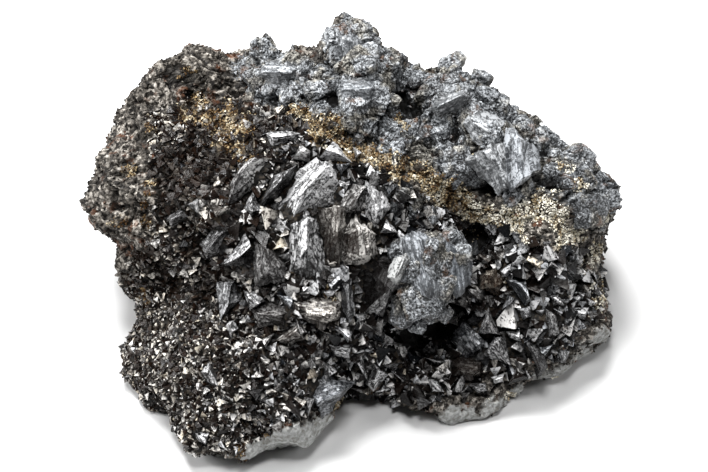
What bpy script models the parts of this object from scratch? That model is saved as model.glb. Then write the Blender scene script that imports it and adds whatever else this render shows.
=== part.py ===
"""A sphalerite specimen: a galena-bearing rock and a grown-together crust of sphalerite crystals.

The specimen is described from its display side, which looks down on it from the front. Across runs to the
right, up runs up the display view and toward runs at the viewer; all three are millimetres from the display
centre. The row frame is +Z up with the front at -Y, and its origin is under the middle of the bounding box.
"""

import math
import random

import bmesh
import bpy
import numpy as np
from mathutils import Matrix, Vector

MM = 0.001

# The display view and where its centre lies in the row frame.
VIEW_TILT = math.radians(45)
CENTRE = Vector((0.58, -1.76, 25.0))

# The rock is a rounded boulder: every half meridian runs from a front pole over the rim to a back pole.
FRONT_DEPTH = 13.0
BACK_DEPTH = 41.0
SHOULDER = 2.4

# The rim: where the outline of the display view turns, as (across, up, toward).
RIM = [
    (50.4, -0.8, -9), (52.0, 7.1, -8), (50.6, 11.0, -8), (47.8, 16.5, -8), (43.9, 16.9, -7),
    (40.8, 21.2, -7), (35.9, 24.7, -6), (31.0, 25.9, -6), (28.6, 27.8, -6), (24.3, 29.2, -6),
    (20.2, 32.9, -5), (13.9, 32.9, -4), (10.6, 34.9, -4), (9.8, 37.8, -4), (5.7, 40.4, -4),
    (3.5, 42.4, -4), (-2.7, 43.7, -4), (-5.1, 42.0, -4), (-6.3, 39.8, -5), (-10.6, 37.6, -5),
    (-13.9, 37.0, -6), (-17.3, 39.8, -6), (-19.8, 38.0, -7), (-24.7, 36.9, -8), (-34.1, 37.0, -9),
    (-41.0, 33.9, -9), (-47.2, 28.2, -8), (-48.2, 22.7, -8), (-50.8, 20.2, -7), (-53.1, 10.6, -5),
    (-51.8, 6.1, -5), (-52.9, 1.6, -5), (-49.2, -1.8, -5), (-47.5, -6.3, -5), (-42.0, -12.5, -4),
    (-43.7, -15.3, -5), (-46.3, -22.4, -7), (-45.5, -28.6, -4), (-41.0, -33.1, -1), (-36.5, -35.3, 1),
    (-35.5, -39.2, 5), (-31.2, -41.4, 7), (-20.4, -43.3, 9), (-12.2, -42.7, 8), (-5.7, -38.0, 4),
    (-0.4, -34.3, 0), (9.4, -32.5, -1), (14.9, -35.7, 2), (22.4, -36.9, 3), (26.1, -34.3, 0),
    (34.5, -31.4, -3), (43.3, -26.9, -7), (48.2, -23.7, -9), (50.8, -19.4, -10), (51.2, -12.5, -10),
]

# Swells and hollows of the display side, as (across, up, radius, height toward the viewer).
SWELLS = [
    (-10.0, 6.0, 13.0, 6.0),
    (-27.0, -27.0, 12.0, 4.0),
    (-24.0, -12.5, 5.0, -2.5),
    (34.5, -15.0, 9.0, 3.0),
    (37.0, 3.0, 7.0, 4.5),
    (30.0, 15.0, 7.0, 3.0),
    (-44.0, 9.0, 8.0, 3.5),
    (14.9, -20.4, 6.0, -9.0),
    (8.0, -21.5, 4.5, -4.5),
    (22.8, -7.0, 4.5, -7.0),
    (24.5, 0.0, 4.0, -5.0),
    (24.0, -30.0, 7.0, -3.0),
    (-33.0, 28.6, 3.5, -5.0),
    (10.5, 26.5, 3.0, -5.0),
    (18.0, 10.0, 6.0, -2.5),
    (-27.0, 20.0, 8.0, -3.0),
]

# Broken relief of the bare rock, as (lump size, height, seed).
LUMPS = [(22.0, 1.3, 11), (9.0, 0.8, 12)]

# How far to step along the surface to find its slope, and the highest share of the rim radius that is used.
SLOPE_STEP = 1.5
RIM_SHARE = 0.999

# The region that the sphalerite crust covers, as (across, up) corners of the display view.
CRUST_EDGE = [
    (-40.0, 25.5), (-40.0, 16.0), (-38.4, 7.0), (-40.0, -0.8), (-43.9, -5.7), (-47.5, -11.0),
    (-49.0, -22.4), (-47.5, -30.6), (-38.0, -38.0), (-36.0, -42.0), (-18.0, -43.5), (-14.5, -37.0),
    (-4.7, -34.6), (4.1, -32.6), (12.0, -33.5), (19.0, -32.5), (30.0, -29.5), (40.0, -26.5),
    (46.5, -22.0), (53.0, -18.0), (53.0, -8.0), (45.0, -4.0), (35.0, -2.0), (30.0, 0.5),
    (23.5, 1.0), (17.0, 5.0), (11.0, 8.5), (3.0, 14.0), (-3.0, 18.0), (-10.0, 22.5),
    (-20.0, 25.5), (-30.0, 27.0),
]
# How deep the crust is let into the rock, how far its slab stands proud and how far it starts below its seat.
CRUST_DEPTH = 3.2
CRUST_LIP = 0.6
CRUST_ROOT = 1.0
# The crust ends where the rock's directions turn this far from the viewer.
CRUST_WRAP = -0.35
# Clear distance from the crust to the rock and to the ground.
GAP = 0.45
GROUND_CLEAR = 0.3
GROUND_CUTTER = (200, 200, 20)

# Galena blocks of the ridge, as (across, up, toward offset, length, breadth, height, turn in degrees).
BLOCKS = [
    (-1.8, 39.5, 0.0, 8.0, 7.5, 8.0, 20), (4.5, 38.0, 0.5, 6.5, 6.0, 6.5, -15),
    (8.0, 33.5, 1.0, 6.0, 8.0, 7.0, 10), (-0.5, 31.5, 2.0, 9.5, 9.0, 8.0, 5),
    (3.0, 25.5, 1.5, 10.0, 6.5, 7.0, -8), (-16.5, 31.5, 1.5, 11.0, 8.5, 7.0, -12),
    (-17.0, 37.0, 0.0, 5.0, 5.5, 6.0, 40), (-7.5, 27.5, 1.0, 5.0, 5.0, 5.0, 30),
    (-7.0, 33.5, 0.0, 7.0, 7.0, 6.0, -25), (16.5, 30.5, 0.5, 11.0, 4.5, 6.0, 5),
    (19.5, 27.0, 1.0, 10.0, 4.5, 6.0, 18), (23.0, 22.5, 1.5, 8.0, 6.5, 6.0, 25),
    (27.5, 17.5, 1.0, 7.0, 11.0, 5.0, 32), (33.5, 14.5, 2.0, 7.5, 13.0, 5.0, 35),
    (37.5, 22.5, 0.5, 6.5, 6.0, 6.0, 0), (42.0, 16.5, 0.5, 6.0, 8.0, 6.0, 20),
    (46.0, 13.0, 0.5, 6.5, 6.0, 7.0, 10), (46.0, 6.0, 0.5, 8.0, 8.5, 6.0, -10),
    (17.0, 12.5, 1.0, 8.0, 9.0, 5.0, 15), (-37.5, 31.0, 0.5, 8.0, 7.0, 6.0, 10),
    (-27.5, 33.5, 0.5, 9.0, 6.0, 6.0, -10), (-47.0, 17.0, 0.5, 6.5, 8.0, 5.0, 15),
    (-48.5, 5.0, 0.5, 5.5, 8.0, 5.0, -12), (9.5, 14.5, 0.5, 6.5, 6.0, 4.0, 0),
]
BLOCK_BEVEL = 1.0
BLOCK_SINK = 1.3
BLOCK_PULL = (0.78, 1.12)
FLAT_ANGLE = math.radians(4)

# The galena knob hangs over the cleft: lobes as (across, up, toward offset, radius). They start at KNOB_LEVEL
# at least, and waves of KNOB_WOBBLE (size, share of the radius) make them uneven.
KNOB_LOBES = [
    (15.0, -5.5, 3.5, 6.0),
    (14.5, -13.0, 3.0, 5.5),
    (19.8, -4.8, 2.5, 4.4),
    (11.5, -15.5, 1.5, 3.8),
    (17.5, -9.5, 3.0, 5.0),
    (14.0, -4.0, -3.0, 6.0),
]
KNOB_LEVEL = 10.0
KNOB_WOBBLE = (1.3, 0.1)
KNOB_SEED = 31

# Leading sphalerite crystals, as (across, up, size, apex direction, apex tilt, turn about the apex, lift).
# The direction is measured in the display view from the right, the tilt from the line to the viewer.
LEADERS = [
    (-8.5, 9.0, 13.0, 55, 60, 20, 1.5), (-9.3, -0.8, 9.5, 95, 60, 0, 1.0),
    (-15.0, 10.5, 9.5, 60, 70, 40, 0.5), (1.2, 0.8, 9.5, 110, 40, 10, 1.0),
    (4.5, -9.5, 12.5, 300, 45, 15, 1.0), (5.0, 6.0, 11.0, 240, 55, 30, 0.5),
    (-19.2, 11.8, 6.0, 270, 70, 0, 0.5), (-19.6, 5.8, 6.0, 90, 70, 10, 0.5),
    (-31.0, 6.2, 5.5, 200, 65, 0, 0.3), (-35.0, 3.5, 7.0, 100, 40, 20, 0.0),
    (-26.5, -1.2, 8.0, 130, 50, 35, 0.5), (-16.0, -3.4, 8.5, 100, 55, 0, 0.5),
    (-22.3, -2.5, 8.0, 70, 60, 50, 0.0), (-3.5, 15.8, 6.5, 80, 70, 0, 0.5),
    (-10.4, 15.4, 5.0, 250, 60, 0, 0.5), (-14.3, 19.8, 6.0, 120, 45, 0, 0.0),
    (-39.0, -3.0, 6.0, 180, 50, 0, 0.0), (-2.2, -18.6, 4.5, 60, 70, 0, 0.5),
    (-5.5, -30.0, 9.5, 60, 60, 25, 0.0), (-4.7, -26.0, 5.0, 120, 50, 0, 0.5),
    (5.0, -26.7, 6.5, 30, 65, 0, 0.5), (1.0, -26.7, 6.0, 100, 50, 0, 0.5),
    (-25.0, -18.0, 5.5, 90, 70, 0, 0.5), (-16.5, -15.0, 8.0, 160, 50, 10, 0.0),
    (-9.0, -13.0, 9.0, 200, 45, 0, 0.5), (26.7, -17.4, 7.5, 90, 70, 0, 1.5),
    (28.6, -22.7, 8.5, 100, 65, 15, 1.5), (23.1, -19.6, 6.5, 140, 50, 0, 1.0),
    (31.4, -19.2, 5.5, 80, 55, 0, 1.0), (23.0, -26.7, 8.5, 30, 45, 0, 0.5),
    (27.6, -9.6, 7.5, 100, 60, 10, 1.0), (34.1, -10.6, 7.5, 85, 65, 0, 1.0),
    (37.8, -22.7, 7.0, 60, 50, 30, 0.5), (34.9, -22.5, 6.5, 95, 60, 0, 0.5),
    (44.3, -15.1, 7.0, 80, 45, 0, 0.5), (42.7, -10.4, 5.5, 120, 50, 0, 0.5),
    (47.2, -13.1, 5.5, 60, 60, 0, 0.3), (34.9, -27.2, 5.5, 40, 50, 0, 0.3),
    (28.0, -28.2, 5.0, 80, 55, 0, 0.3), (39.6, -16.7, 6.0, 100, 60, 40, 0.5),
    (20.8, -31.0, 6.0, 90, 50, 0, 0.0), (44.0, -21.0, 6.0, 50, 50, 20, 0.0),
]
LEADER_CUT = 0.1
LEADER_SEAT = 0.08

# Lesser crystals fill the crust between the leading ones. They stay this far in from the rim.
LESSER_COUNT = 110
LESSER_TRIES = 6000
LESSER_AREA = ((-50, 52), (-42, 27))
LESSER_SPACING = 5.0
LESSER_MARGIN = 1.5
LESSER_SIZE = (4.2, 6.5)
LESSER_LEAN = math.radians(38)
LESSER_SEAT = 0.05
LESSER_CUT = 0.0
# Shares of a neighbour's radius and of a crystal's own spacing that stay clear.
LESSER_CLEAR = 0.7
SEED = 5

ROCK_SUBDIVISIONS = 2
ROCK_CUTS = 4


def display_matrix():
    """Turns (across, up, toward) millimetres into row-frame millimetres."""
    across = Vector((1, 0, 0))
    up = Vector((0, math.sin(VIEW_TILT), math.cos(VIEW_TILT)))
    toward = Vector((0, -math.cos(VIEW_TILT), math.sin(VIEW_TILT)))
    turn = Matrix((across, up, toward)).transposed().to_4x4()
    return Matrix.Translation(CENTRE) @ turn


def rim_at(angles):
    """Rim radius and rim depth at angles round the display centre, in straight steps between rim points."""
    points = np.array(RIM, float)
    at = np.unwrap(np.arctan2(points[:, 1], points[:, 0]))
    radius = np.hypot(points[:, 0], points[:, 1])
    order = np.argsort(at % math.tau)
    knots, radius, depth = (at % math.tau)[order], radius[order], points[order, 2]
    knots = np.concatenate([knots[-1:] - math.tau, knots, knots[:1] + math.tau])
    radius = np.concatenate([radius[-1:], radius, radius[:1]])
    depth = np.concatenate([depth[-1:], depth, depth[:1]])
    angles = np.asarray(angles) % math.tau
    after = np.clip(np.searchsorted(knots, angles), 1, len(knots) - 1)
    share = (angles - knots[after - 1]) / (knots[after] - knots[after - 1])
    return (
        radius[after - 1] + (radius[after] - radius[after - 1]) * share,
        depth[after - 1] + (depth[after] - depth[after - 1]) * share,
    )


def waves(points, size, seed, count=24):
    """A smooth random field of about unit height: plane waves of about one size in random directions."""
    rng = np.random.default_rng(seed)
    heading = rng.normal(size=(count, 3))
    heading /= np.linalg.norm(heading, axis=1)[:, None]
    vectors = heading * (math.tau / size) * rng.uniform(0.7, 1.3, (count, 1))
    phases = rng.uniform(0, math.tau, count)
    return np.sin(points @ vectors.T + phases).sum(1) / math.sqrt(count / 2)


def swell_height(across, up):
    """Sum of the swells, each a bell of its own radius."""
    height = np.zeros_like(across)
    for x, y, radius, rise in SWELLS:
        height += rise * np.exp(-((across - x) ** 2 + (up - y) ** 2) / (2 * radius**2))
    return height


def outward(directions):
    """Unit vectors that fan out from the rock's heart, so that offsets along them keep the surface whole."""
    bulge = np.sign(directions[:, 2]) * np.abs(directions[:, 2]) ** (2 / SHOULDER)
    fan = np.stack([directions[:, 0], directions[:, 1], bulge], 1)
    return fan / np.linalg.norm(fan, axis=1)[:, None]


def boulder(directions):
    """The rock's surface in the display frame along unit directions, the last of whose three is toward."""
    angle = np.arctan2(directions[:, 1], directions[:, 0])
    radius, rim_depth = rim_at(angle)
    facing = np.clip(directions[:, 2], -1, 1)
    spread = np.sqrt(1 - facing**2) ** (2 / SHOULDER)
    bulge = np.sign(facing) * np.abs(facing) ** (2 / SHOULDER)
    across = radius * spread * np.cos(angle)
    up = radius * spread * np.sin(angle)
    depth = np.where(bulge > 0, FRONT_DEPTH, BACK_DEPTH)
    toward = rim_depth * spread + depth * bulge
    toward += swell_height(across, up) * np.clip(bulge * 2.5, 0, 1)
    points = np.stack([across, up, toward], 1)
    relief = sum(height * waves(points, size, seed) for size, height, seed in LUMPS)
    return points + outward(directions) * relief[:, None]


def front_direction(across, up):
    """The unit direction whose surface point lies at (across, up) on the display side."""
    angle = math.atan2(up, across)
    radius = rim_at([angle])[0][0]
    spread = min(math.hypot(across, up) / radius, RIM_SHARE)
    sine = spread ** (SHOULDER / 2)
    return np.array([sine * math.cos(angle), sine * math.sin(angle), math.sqrt(1 - sine**2)])


def front_point(across, up):
    """Surface point and outward normal in the display frame at (across, up)."""
    places = [(across, up), (across + SLOPE_STEP, up), (across, up + SLOPE_STEP)]
    here, beside, above = boulder(np.array([front_direction(*p) for p in places]))
    normal = np.cross(beside - here, above - here)
    normal /= np.linalg.norm(normal)
    return Vector(here), Vector(normal if normal[2] > 0 else -normal)


def inside(across, up, corners):
    """Which points lie in the polygon, by counting edges crossed to the right."""
    found = np.zeros(len(across), bool)
    for (x0, y0), (x1, y1) in zip(corners, corners[1:] + corners[:1]):
        spans = (y0 > up) != (y1 > up)
        with np.errstate(divide="ignore", invalid="ignore"):
            crossing = x0 + (up - y0) * (x1 - x0) / (y1 - y0)
        found ^= spans & (across < crossing)
    return found


def new_object(name, mesh_data, material=None):
    """Links an object that holds a bmesh given in display millimetres, and places it in the row frame."""
    mesh = bpy.data.meshes.new(name)
    mesh_data.transform(Matrix.Scale(MM, 4) @ display_matrix())
    bmesh.ops.recalc_face_normals(mesh_data, faces=mesh_data.faces)
    mesh_data.to_mesh(mesh)
    mesh_data.free()
    obj = bpy.data.objects.new(name, mesh)
    bpy.context.scene.collection.objects.link(obj)
    if material:
        mesh.materials.append(material)
    return obj


def make_material(name, colour, roughness, metallic):
    material = bpy.data.materials.new(name)
    material.use_nodes = True
    shader = material.node_tree.nodes["Principled BSDF"]
    shader.inputs["Base Color"].default_value = (*colour, 1)
    shader.inputs["Roughness"].default_value = roughness
    shader.inputs["Metallic"].default_value = metallic
    return material


def helper(obj):
    """Marks a cutter or an ingredient, which is no part of the specimen itself."""
    obj.hide_render = True
    obj.display_type = "WIRE"
    return obj


def collection_of(name, objects):
    group = bpy.data.collections.new(name)
    for obj in objects:
        group.objects.link(helper(obj))
    return group


def combine(obj, other, operation):
    """Adds a Boolean with one object or with a collection of them."""
    modifier = obj.modifiers.new(operation.lower(), "BOOLEAN")
    modifier.operation = operation
    modifier.solver = "EXACT"
    if isinstance(other, bpy.types.Collection):
        modifier.operand_type = "COLLECTION"
        modifier.collection = other
    else:
        modifier.object = other


def cut_at_ground(mesh_data):
    """Cuts a display-frame mesh off flat at the ground, which the rock rests on."""
    to_display = display_matrix().inverted()
    ground = to_display @ Vector((0, 0, 0))
    normal = (to_display.to_3x3() @ Vector((0, 0, 1))).normalized()
    parts = mesh_data.verts[:] + mesh_data.edges[:] + mesh_data.faces[:]
    cut = bmesh.ops.bisect_plane(mesh_data, geom=parts, plane_co=ground, plane_no=normal, clear_inner=True)
    edges = [part for part in cut["geom_cut"] if isinstance(part, bmesh.types.BMEdge)]
    bmesh.ops.contextual_create(mesh_data, geom=edges)


def ground_cutter():
    """A slab that keeps the crust clear of the ground."""
    data = bmesh.new()
    bmesh.ops.create_cube(data, size=1)
    level = Matrix.Translation((0, 0, GROUND_CLEAR - GROUND_CUTTER[2] / 2))
    data.transform(level @ Matrix.Diagonal((*GROUND_CUTTER, 1)))
    data.transform(display_matrix().inverted())
    return new_object("ground_cutter", data)


def drop_crumbs(obj):
    """Fixes an object's Booleans into its mesh and keeps the largest body, without crumbs or sealed voids."""
    evaluated = obj.evaluated_get(bpy.context.evaluated_depsgraph_get())
    data = bmesh.new()
    data.from_mesh(evaluated.to_mesh())
    evaluated.to_mesh_clear()
    obj.modifiers.clear()
    bmesh.ops.triangulate(data, faces=data.faces)
    bodies = []
    waiting = set(data.faces)
    while waiting:
        reached = [waiting.pop()]
        body = set(reached)
        while reached:
            pairs = [edge.link_faces for edge in reached.pop().edges]
            found = {face for pair in pairs if len(pair) == 2 for face in pair} - body
            body |= found
            reached.extend(found)
        waiting -= body
        bodies.append(body)
    crumbs = set(data.faces) - max(bodies, key=len)
    bmesh.ops.delete(data, geom=list(crumbs), context="FACES")
    data.to_mesh(obj.data)
    data.free()


def rock_sphere():
    """A fine ball, its points as unit directions and its triangles as rows of indices."""
    ball = bmesh.new()
    bmesh.ops.create_icosphere(ball, subdivisions=ROCK_SUBDIVISIONS, radius=1)
    bmesh.ops.subdivide_edges(ball, edges=ball.edges, cuts=ROCK_CUTS, use_grid_fill=True)
    bmesh.ops.triangulate(ball, faces=ball.faces)
    ball.verts.ensure_lookup_table()
    directions = np.array([v.co for v in ball.verts], float)
    triangles = np.array([[v.index for v in f.verts] for f in ball.faces])
    ball.free()
    return directions / np.linalg.norm(directions, axis=1)[:, None], triangles


def mesh_of(points, triangles):
    data = bmesh.new()
    verts = [data.verts.new(p) for p in points]
    for triangle in triangles:
        data.faces.new([verts[k] for k in triangle])
    return data


def slab_mesh(outer, inner, triangles):
    """Closes a patch of surface into a slab: outer face, inner face and a wall round the edge."""
    used = sorted(set(triangles.ravel().tolist()))
    data = bmesh.new()
    top = {k: data.verts.new(outer[k]) for k in used}
    bottom = {k: data.verts.new(inner[k]) for k in used}
    for a, b, c in triangles.tolist():
        data.faces.new([top[a], top[b], top[c]])
        data.faces.new([bottom[c], bottom[b], bottom[a]])
    for a, b in boundary_of(triangles):
        data.faces.new([top[b], top[a], bottom[a], bottom[b]])
    return data


def boundary_of(triangles):
    """The directed sides that only one triangle of a patch has."""
    sides = np.concatenate([triangles[:, [0, 1]], triangles[:, [1, 2]], triangles[:, [2, 0]]])
    known = {(a, b) for a, b in sides.tolist()}
    return sorted((a, b) for a, b in known if (b, a) not in known)


def without_pinches(chosen, triangles):
    """Widens a patch, given as flags on the triangles, until no point has its edge pass through it twice."""
    while True:
        starts = [a for a, _ in boundary_of(triangles[chosen])]
        pinched = {a for a in starts if starts.count(a) > 1}
        if not pinched:
            return triangles[chosen]
        chosen = chosen | np.isin(triangles, list(pinched)).any(1)


def largest_patch(triangles):
    """Keeps the triangles of the largest patch that hangs together."""
    parent = {}

    def root(k):
        while parent.setdefault(k, k) != k:
            parent[k] = parent[parent[k]]
            k = parent[k]
        return k

    for a, b, c in triangles.tolist():
        parent[root(a)] = root(b)
        parent[root(b)] = root(c)
    roots = [root(t[0]) for t in triangles.tolist()]
    main = max(set(roots), key=roots.count)
    return triangles[[r == main for r in roots]]


def crystal_mesh(size, cut):
    """A sphalerite tetrahedron with its four points cut off, centred, one point along +Z."""
    corners = [Vector((0, 0, 1))]
    spread = math.sqrt(8) / 3
    for k in range(3):
        angle = math.tau * k / 3
        corners.append(Vector((math.cos(angle) * spread, math.sin(angle) * spread, -1 / 3)))
    reach = size / math.sqrt(8 / 3)
    if not cut:
        return hull_mesh([corner * reach for corner in corners])
    return hull_mesh([(a + (b - a) * cut) * reach for a in corners for b in corners if a is not b])


def crystal(name, place, apex, turn, size, cut):
    """A crystal at a place in the display frame, its point along apex."""
    data = crystal_mesh(size, cut)
    aim = apex.normalized().to_track_quat("Z", "X").to_matrix().to_4x4()
    data.transform(Matrix.Translation(place) @ aim @ Matrix.Rotation(turn, 4, "Z"))
    return new_object(name, data)


def leading_crystals():
    made = []
    for index, (across, up, size, heading, tilt, turn, lift) in enumerate(LEADERS):
        here, normal = front_point(across, up)
        heading, tilt = math.radians(heading), math.radians(tilt)
        aside = math.sin(tilt)
        apex = Vector((aside * math.cos(heading), aside * math.sin(heading), math.cos(tilt)))
        place = here + normal * (lift + size * LEADER_SEAT)
        made.append(crystal(f"leader_{index}", place, apex, math.radians(turn), size, LEADER_CUT))
    return made


def lesser_crystals():
    """Crystals strewn over the crust, kept apart from one another and from the leading ones."""
    chance = random.Random(SEED)
    taken = [(across, up, size / 2) for across, up, size, *_ in LEADERS]
    made = []
    tries = 0
    while len(made) < LESSER_COUNT and tries < LESSER_TRIES:
        tries += 1
        across, up = (chance.uniform(*span) for span in LESSER_AREA)
        if not inside(np.array([across]), np.array([up]), CRUST_EDGE)[0]:
            continue
        if math.hypot(across, up) > rim_at([math.atan2(up, across)])[0][0] - LESSER_MARGIN:
            continue
        room = LESSER_SPACING / 2
        if any(math.hypot(across - x, up - y) < room + r * LESSER_CLEAR for x, y, r in taken):
            continue
        size = chance.uniform(*LESSER_SIZE)
        here, normal = front_point(across, up)
        lean = Vector([chance.uniform(-1, 1) for _ in range(3)]).normalized() * math.tan(LESSER_LEAN)
        apex = normal + lean * chance.random()
        turn = chance.uniform(0, math.tau)
        place = here + normal * size * LESSER_SEAT
        made.append(crystal(f"lesser_{len(made)}", place, apex, turn, size, LESSER_CUT))
        taken.append((across, up, LESSER_SPACING * LESSER_CLEAR))
    return made


def hull_mesh(points):
    """The convex hull of points, with its flat facets left whole."""
    data = bmesh.new()
    for point in points:
        data.verts.new(point)
    bmesh.ops.convex_hull(data, input=data.verts)
    inner = [vertex for vertex in data.verts if not vertex.link_faces]
    bmesh.ops.delete(data, geom=inner, context="VERTS")
    bmesh.ops.dissolve_limit(data, angle_limit=FLAT_ANGLE, verts=data.verts, edges=data.edges)
    return data


def block_mesh(size, seed):
    """A broken galena block: a box with its corners pulled about and its twelve edges knocked off."""
    chance = random.Random(seed)
    points = []
    for signs in [(x, y, z) for x in (-1, 1) for y in (-1, 1) for z in (-1, 1)]:
        pull = [chance.uniform(*BLOCK_PULL) for _ in signs]
        for axis in range(3):
            drop = [BLOCK_BEVEL if other != axis else 0 for other in range(3)]
            points.append([s * (length * p / 2 - d) for s, length, p, d in zip(signs, size, pull, drop)])
    return hull_mesh(points)


def galena_blocks(grow=0.0):
    """The ridge's blocks, or cutters of their shape that stand proud of them by grow."""
    made = []
    for index, (across, up, toward, length, breadth, height, turn) in enumerate(BLOCKS):
        here, normal = front_point(across, up)
        data = block_mesh((length, breadth, height), index + 1)
        for vertex in data.verts:
            vertex.co *= 1 + 2 * grow / min(length, breadth, height)
        aim = (normal + Vector((0, 0, 1))).normalized().to_track_quat("Z", "X").to_matrix().to_4x4()
        spin = Matrix.Rotation(math.radians(90 + turn), 4, "Z")
        data.transform(Matrix.Translation(here + normal * (toward - BLOCK_SINK)) @ aim @ spin)
        made.append(new_object(f"block_{index}_{'cutter' if grow else 'piece'}", data))
    return made


def knob_lobes(grow=0.0):
    """The knob's lobes as coarse lumps, or cutters that stand proud of them by grow."""
    made = []
    wave_size, share = KNOB_WOBBLE
    for index, (across, up, toward, radius) in enumerate(KNOB_LOBES):
        here, _ = front_point(across, up)
        level = max(here.z, KNOB_LEVEL)
        data = bmesh.new()
        bmesh.ops.create_icosphere(data, subdivisions=2, radius=1)
        points = np.array([v.co for v in data.verts], float)
        wobble = 1 + share * waves(points + index * 3.0, wave_size, KNOB_SEED + index)
        for vertex, factor in zip(data.verts, wobble):
            vertex.co *= radius * factor + grow
        data.transform(Matrix.Translation((across, up, level + toward)))
        made.append(new_object(f"lobe_{index}_{'cutter' if grow else 'piece'}", data))
    return made


def build():
    for obj in list(bpy.data.objects):
        bpy.data.objects.remove(obj)

    grey = make_material("matrix", (0.20, 0.21, 0.22), 0.65, 0.1)
    black = make_material("sphalerite", (0.02, 0.017, 0.015), 0.2, 0.2)

    directions, triangles = rock_sphere()
    surface = boulder(directions)
    fan = outward(directions)
    covered = inside(surface[:, 0], surface[:, 1], CRUST_EDGE) & (directions[:, 2] > CRUST_WRAP)
    patch = largest_patch(without_pinches(covered[triangles].any(1), triangles))
    within = covered & np.isin(np.arange(len(covered)), patch)
    recess = np.where(within, CRUST_DEPTH, 0.0)[:, None]
    rock = surface - recess * fan

    rock_data = mesh_of(rock, triangles)
    cut_at_ground(rock_data)
    matrix = new_object("matrix", rock_data, grey)
    combine(matrix, collection_of("blocks", galena_blocks()), "UNION")
    combine(matrix, collection_of("lobes", knob_lobes()), "UNION")

    lip = np.where(within, 0.0, CRUST_LIP + GAP)[:, None]
    slab_data = slab_mesh(surface + lip * fan, rock - CRUST_ROOT * fan, patch)
    crust = new_object("sphalerite_crystals", slab_data, black)
    rock_cutter = new_object("rock_cutter", mesh_of(rock + GAP * fan, triangles))
    rock_cutters = [rock_cutter] + galena_blocks(GAP) + knob_lobes(GAP)
    cutters = collection_of("cutters", rock_cutters + [ground_cutter()])
    combine(crust, collection_of("crystals", leading_crystals() + lesser_crystals()), "UNION")
    combine(crust, cutters, "DIFFERENCE")
    drop_crumbs(crust)


build()
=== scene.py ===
import math

import bpy
import numpy as np
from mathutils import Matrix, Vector, kdtree


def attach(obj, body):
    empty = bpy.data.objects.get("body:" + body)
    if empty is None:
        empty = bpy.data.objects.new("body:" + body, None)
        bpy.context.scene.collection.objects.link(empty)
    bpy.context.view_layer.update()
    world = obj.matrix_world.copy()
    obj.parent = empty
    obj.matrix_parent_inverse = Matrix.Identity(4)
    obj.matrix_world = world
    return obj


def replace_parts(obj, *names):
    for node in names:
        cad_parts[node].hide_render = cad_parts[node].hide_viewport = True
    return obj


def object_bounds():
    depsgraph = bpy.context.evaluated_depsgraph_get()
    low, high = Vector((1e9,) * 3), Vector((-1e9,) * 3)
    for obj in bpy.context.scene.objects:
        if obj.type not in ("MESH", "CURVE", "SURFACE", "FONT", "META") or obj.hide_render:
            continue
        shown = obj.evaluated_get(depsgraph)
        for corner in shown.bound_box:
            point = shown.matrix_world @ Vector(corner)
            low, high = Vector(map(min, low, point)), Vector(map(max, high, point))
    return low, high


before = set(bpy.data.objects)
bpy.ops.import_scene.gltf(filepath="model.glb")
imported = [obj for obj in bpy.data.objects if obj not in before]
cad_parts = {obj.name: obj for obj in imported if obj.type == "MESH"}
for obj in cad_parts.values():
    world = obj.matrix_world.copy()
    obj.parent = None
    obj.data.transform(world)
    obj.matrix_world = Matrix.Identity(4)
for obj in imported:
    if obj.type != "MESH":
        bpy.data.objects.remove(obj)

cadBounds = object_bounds()

# The specimen is described as the photo shows it: across to the right, up the picture and toward the viewer,
# in millimetres from the display centre. The same frame and the same rock form made the CAD part.
display = {"tilt": math.radians(45), "centre": np.array([0.58, -1.76, 25.0])}

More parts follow.
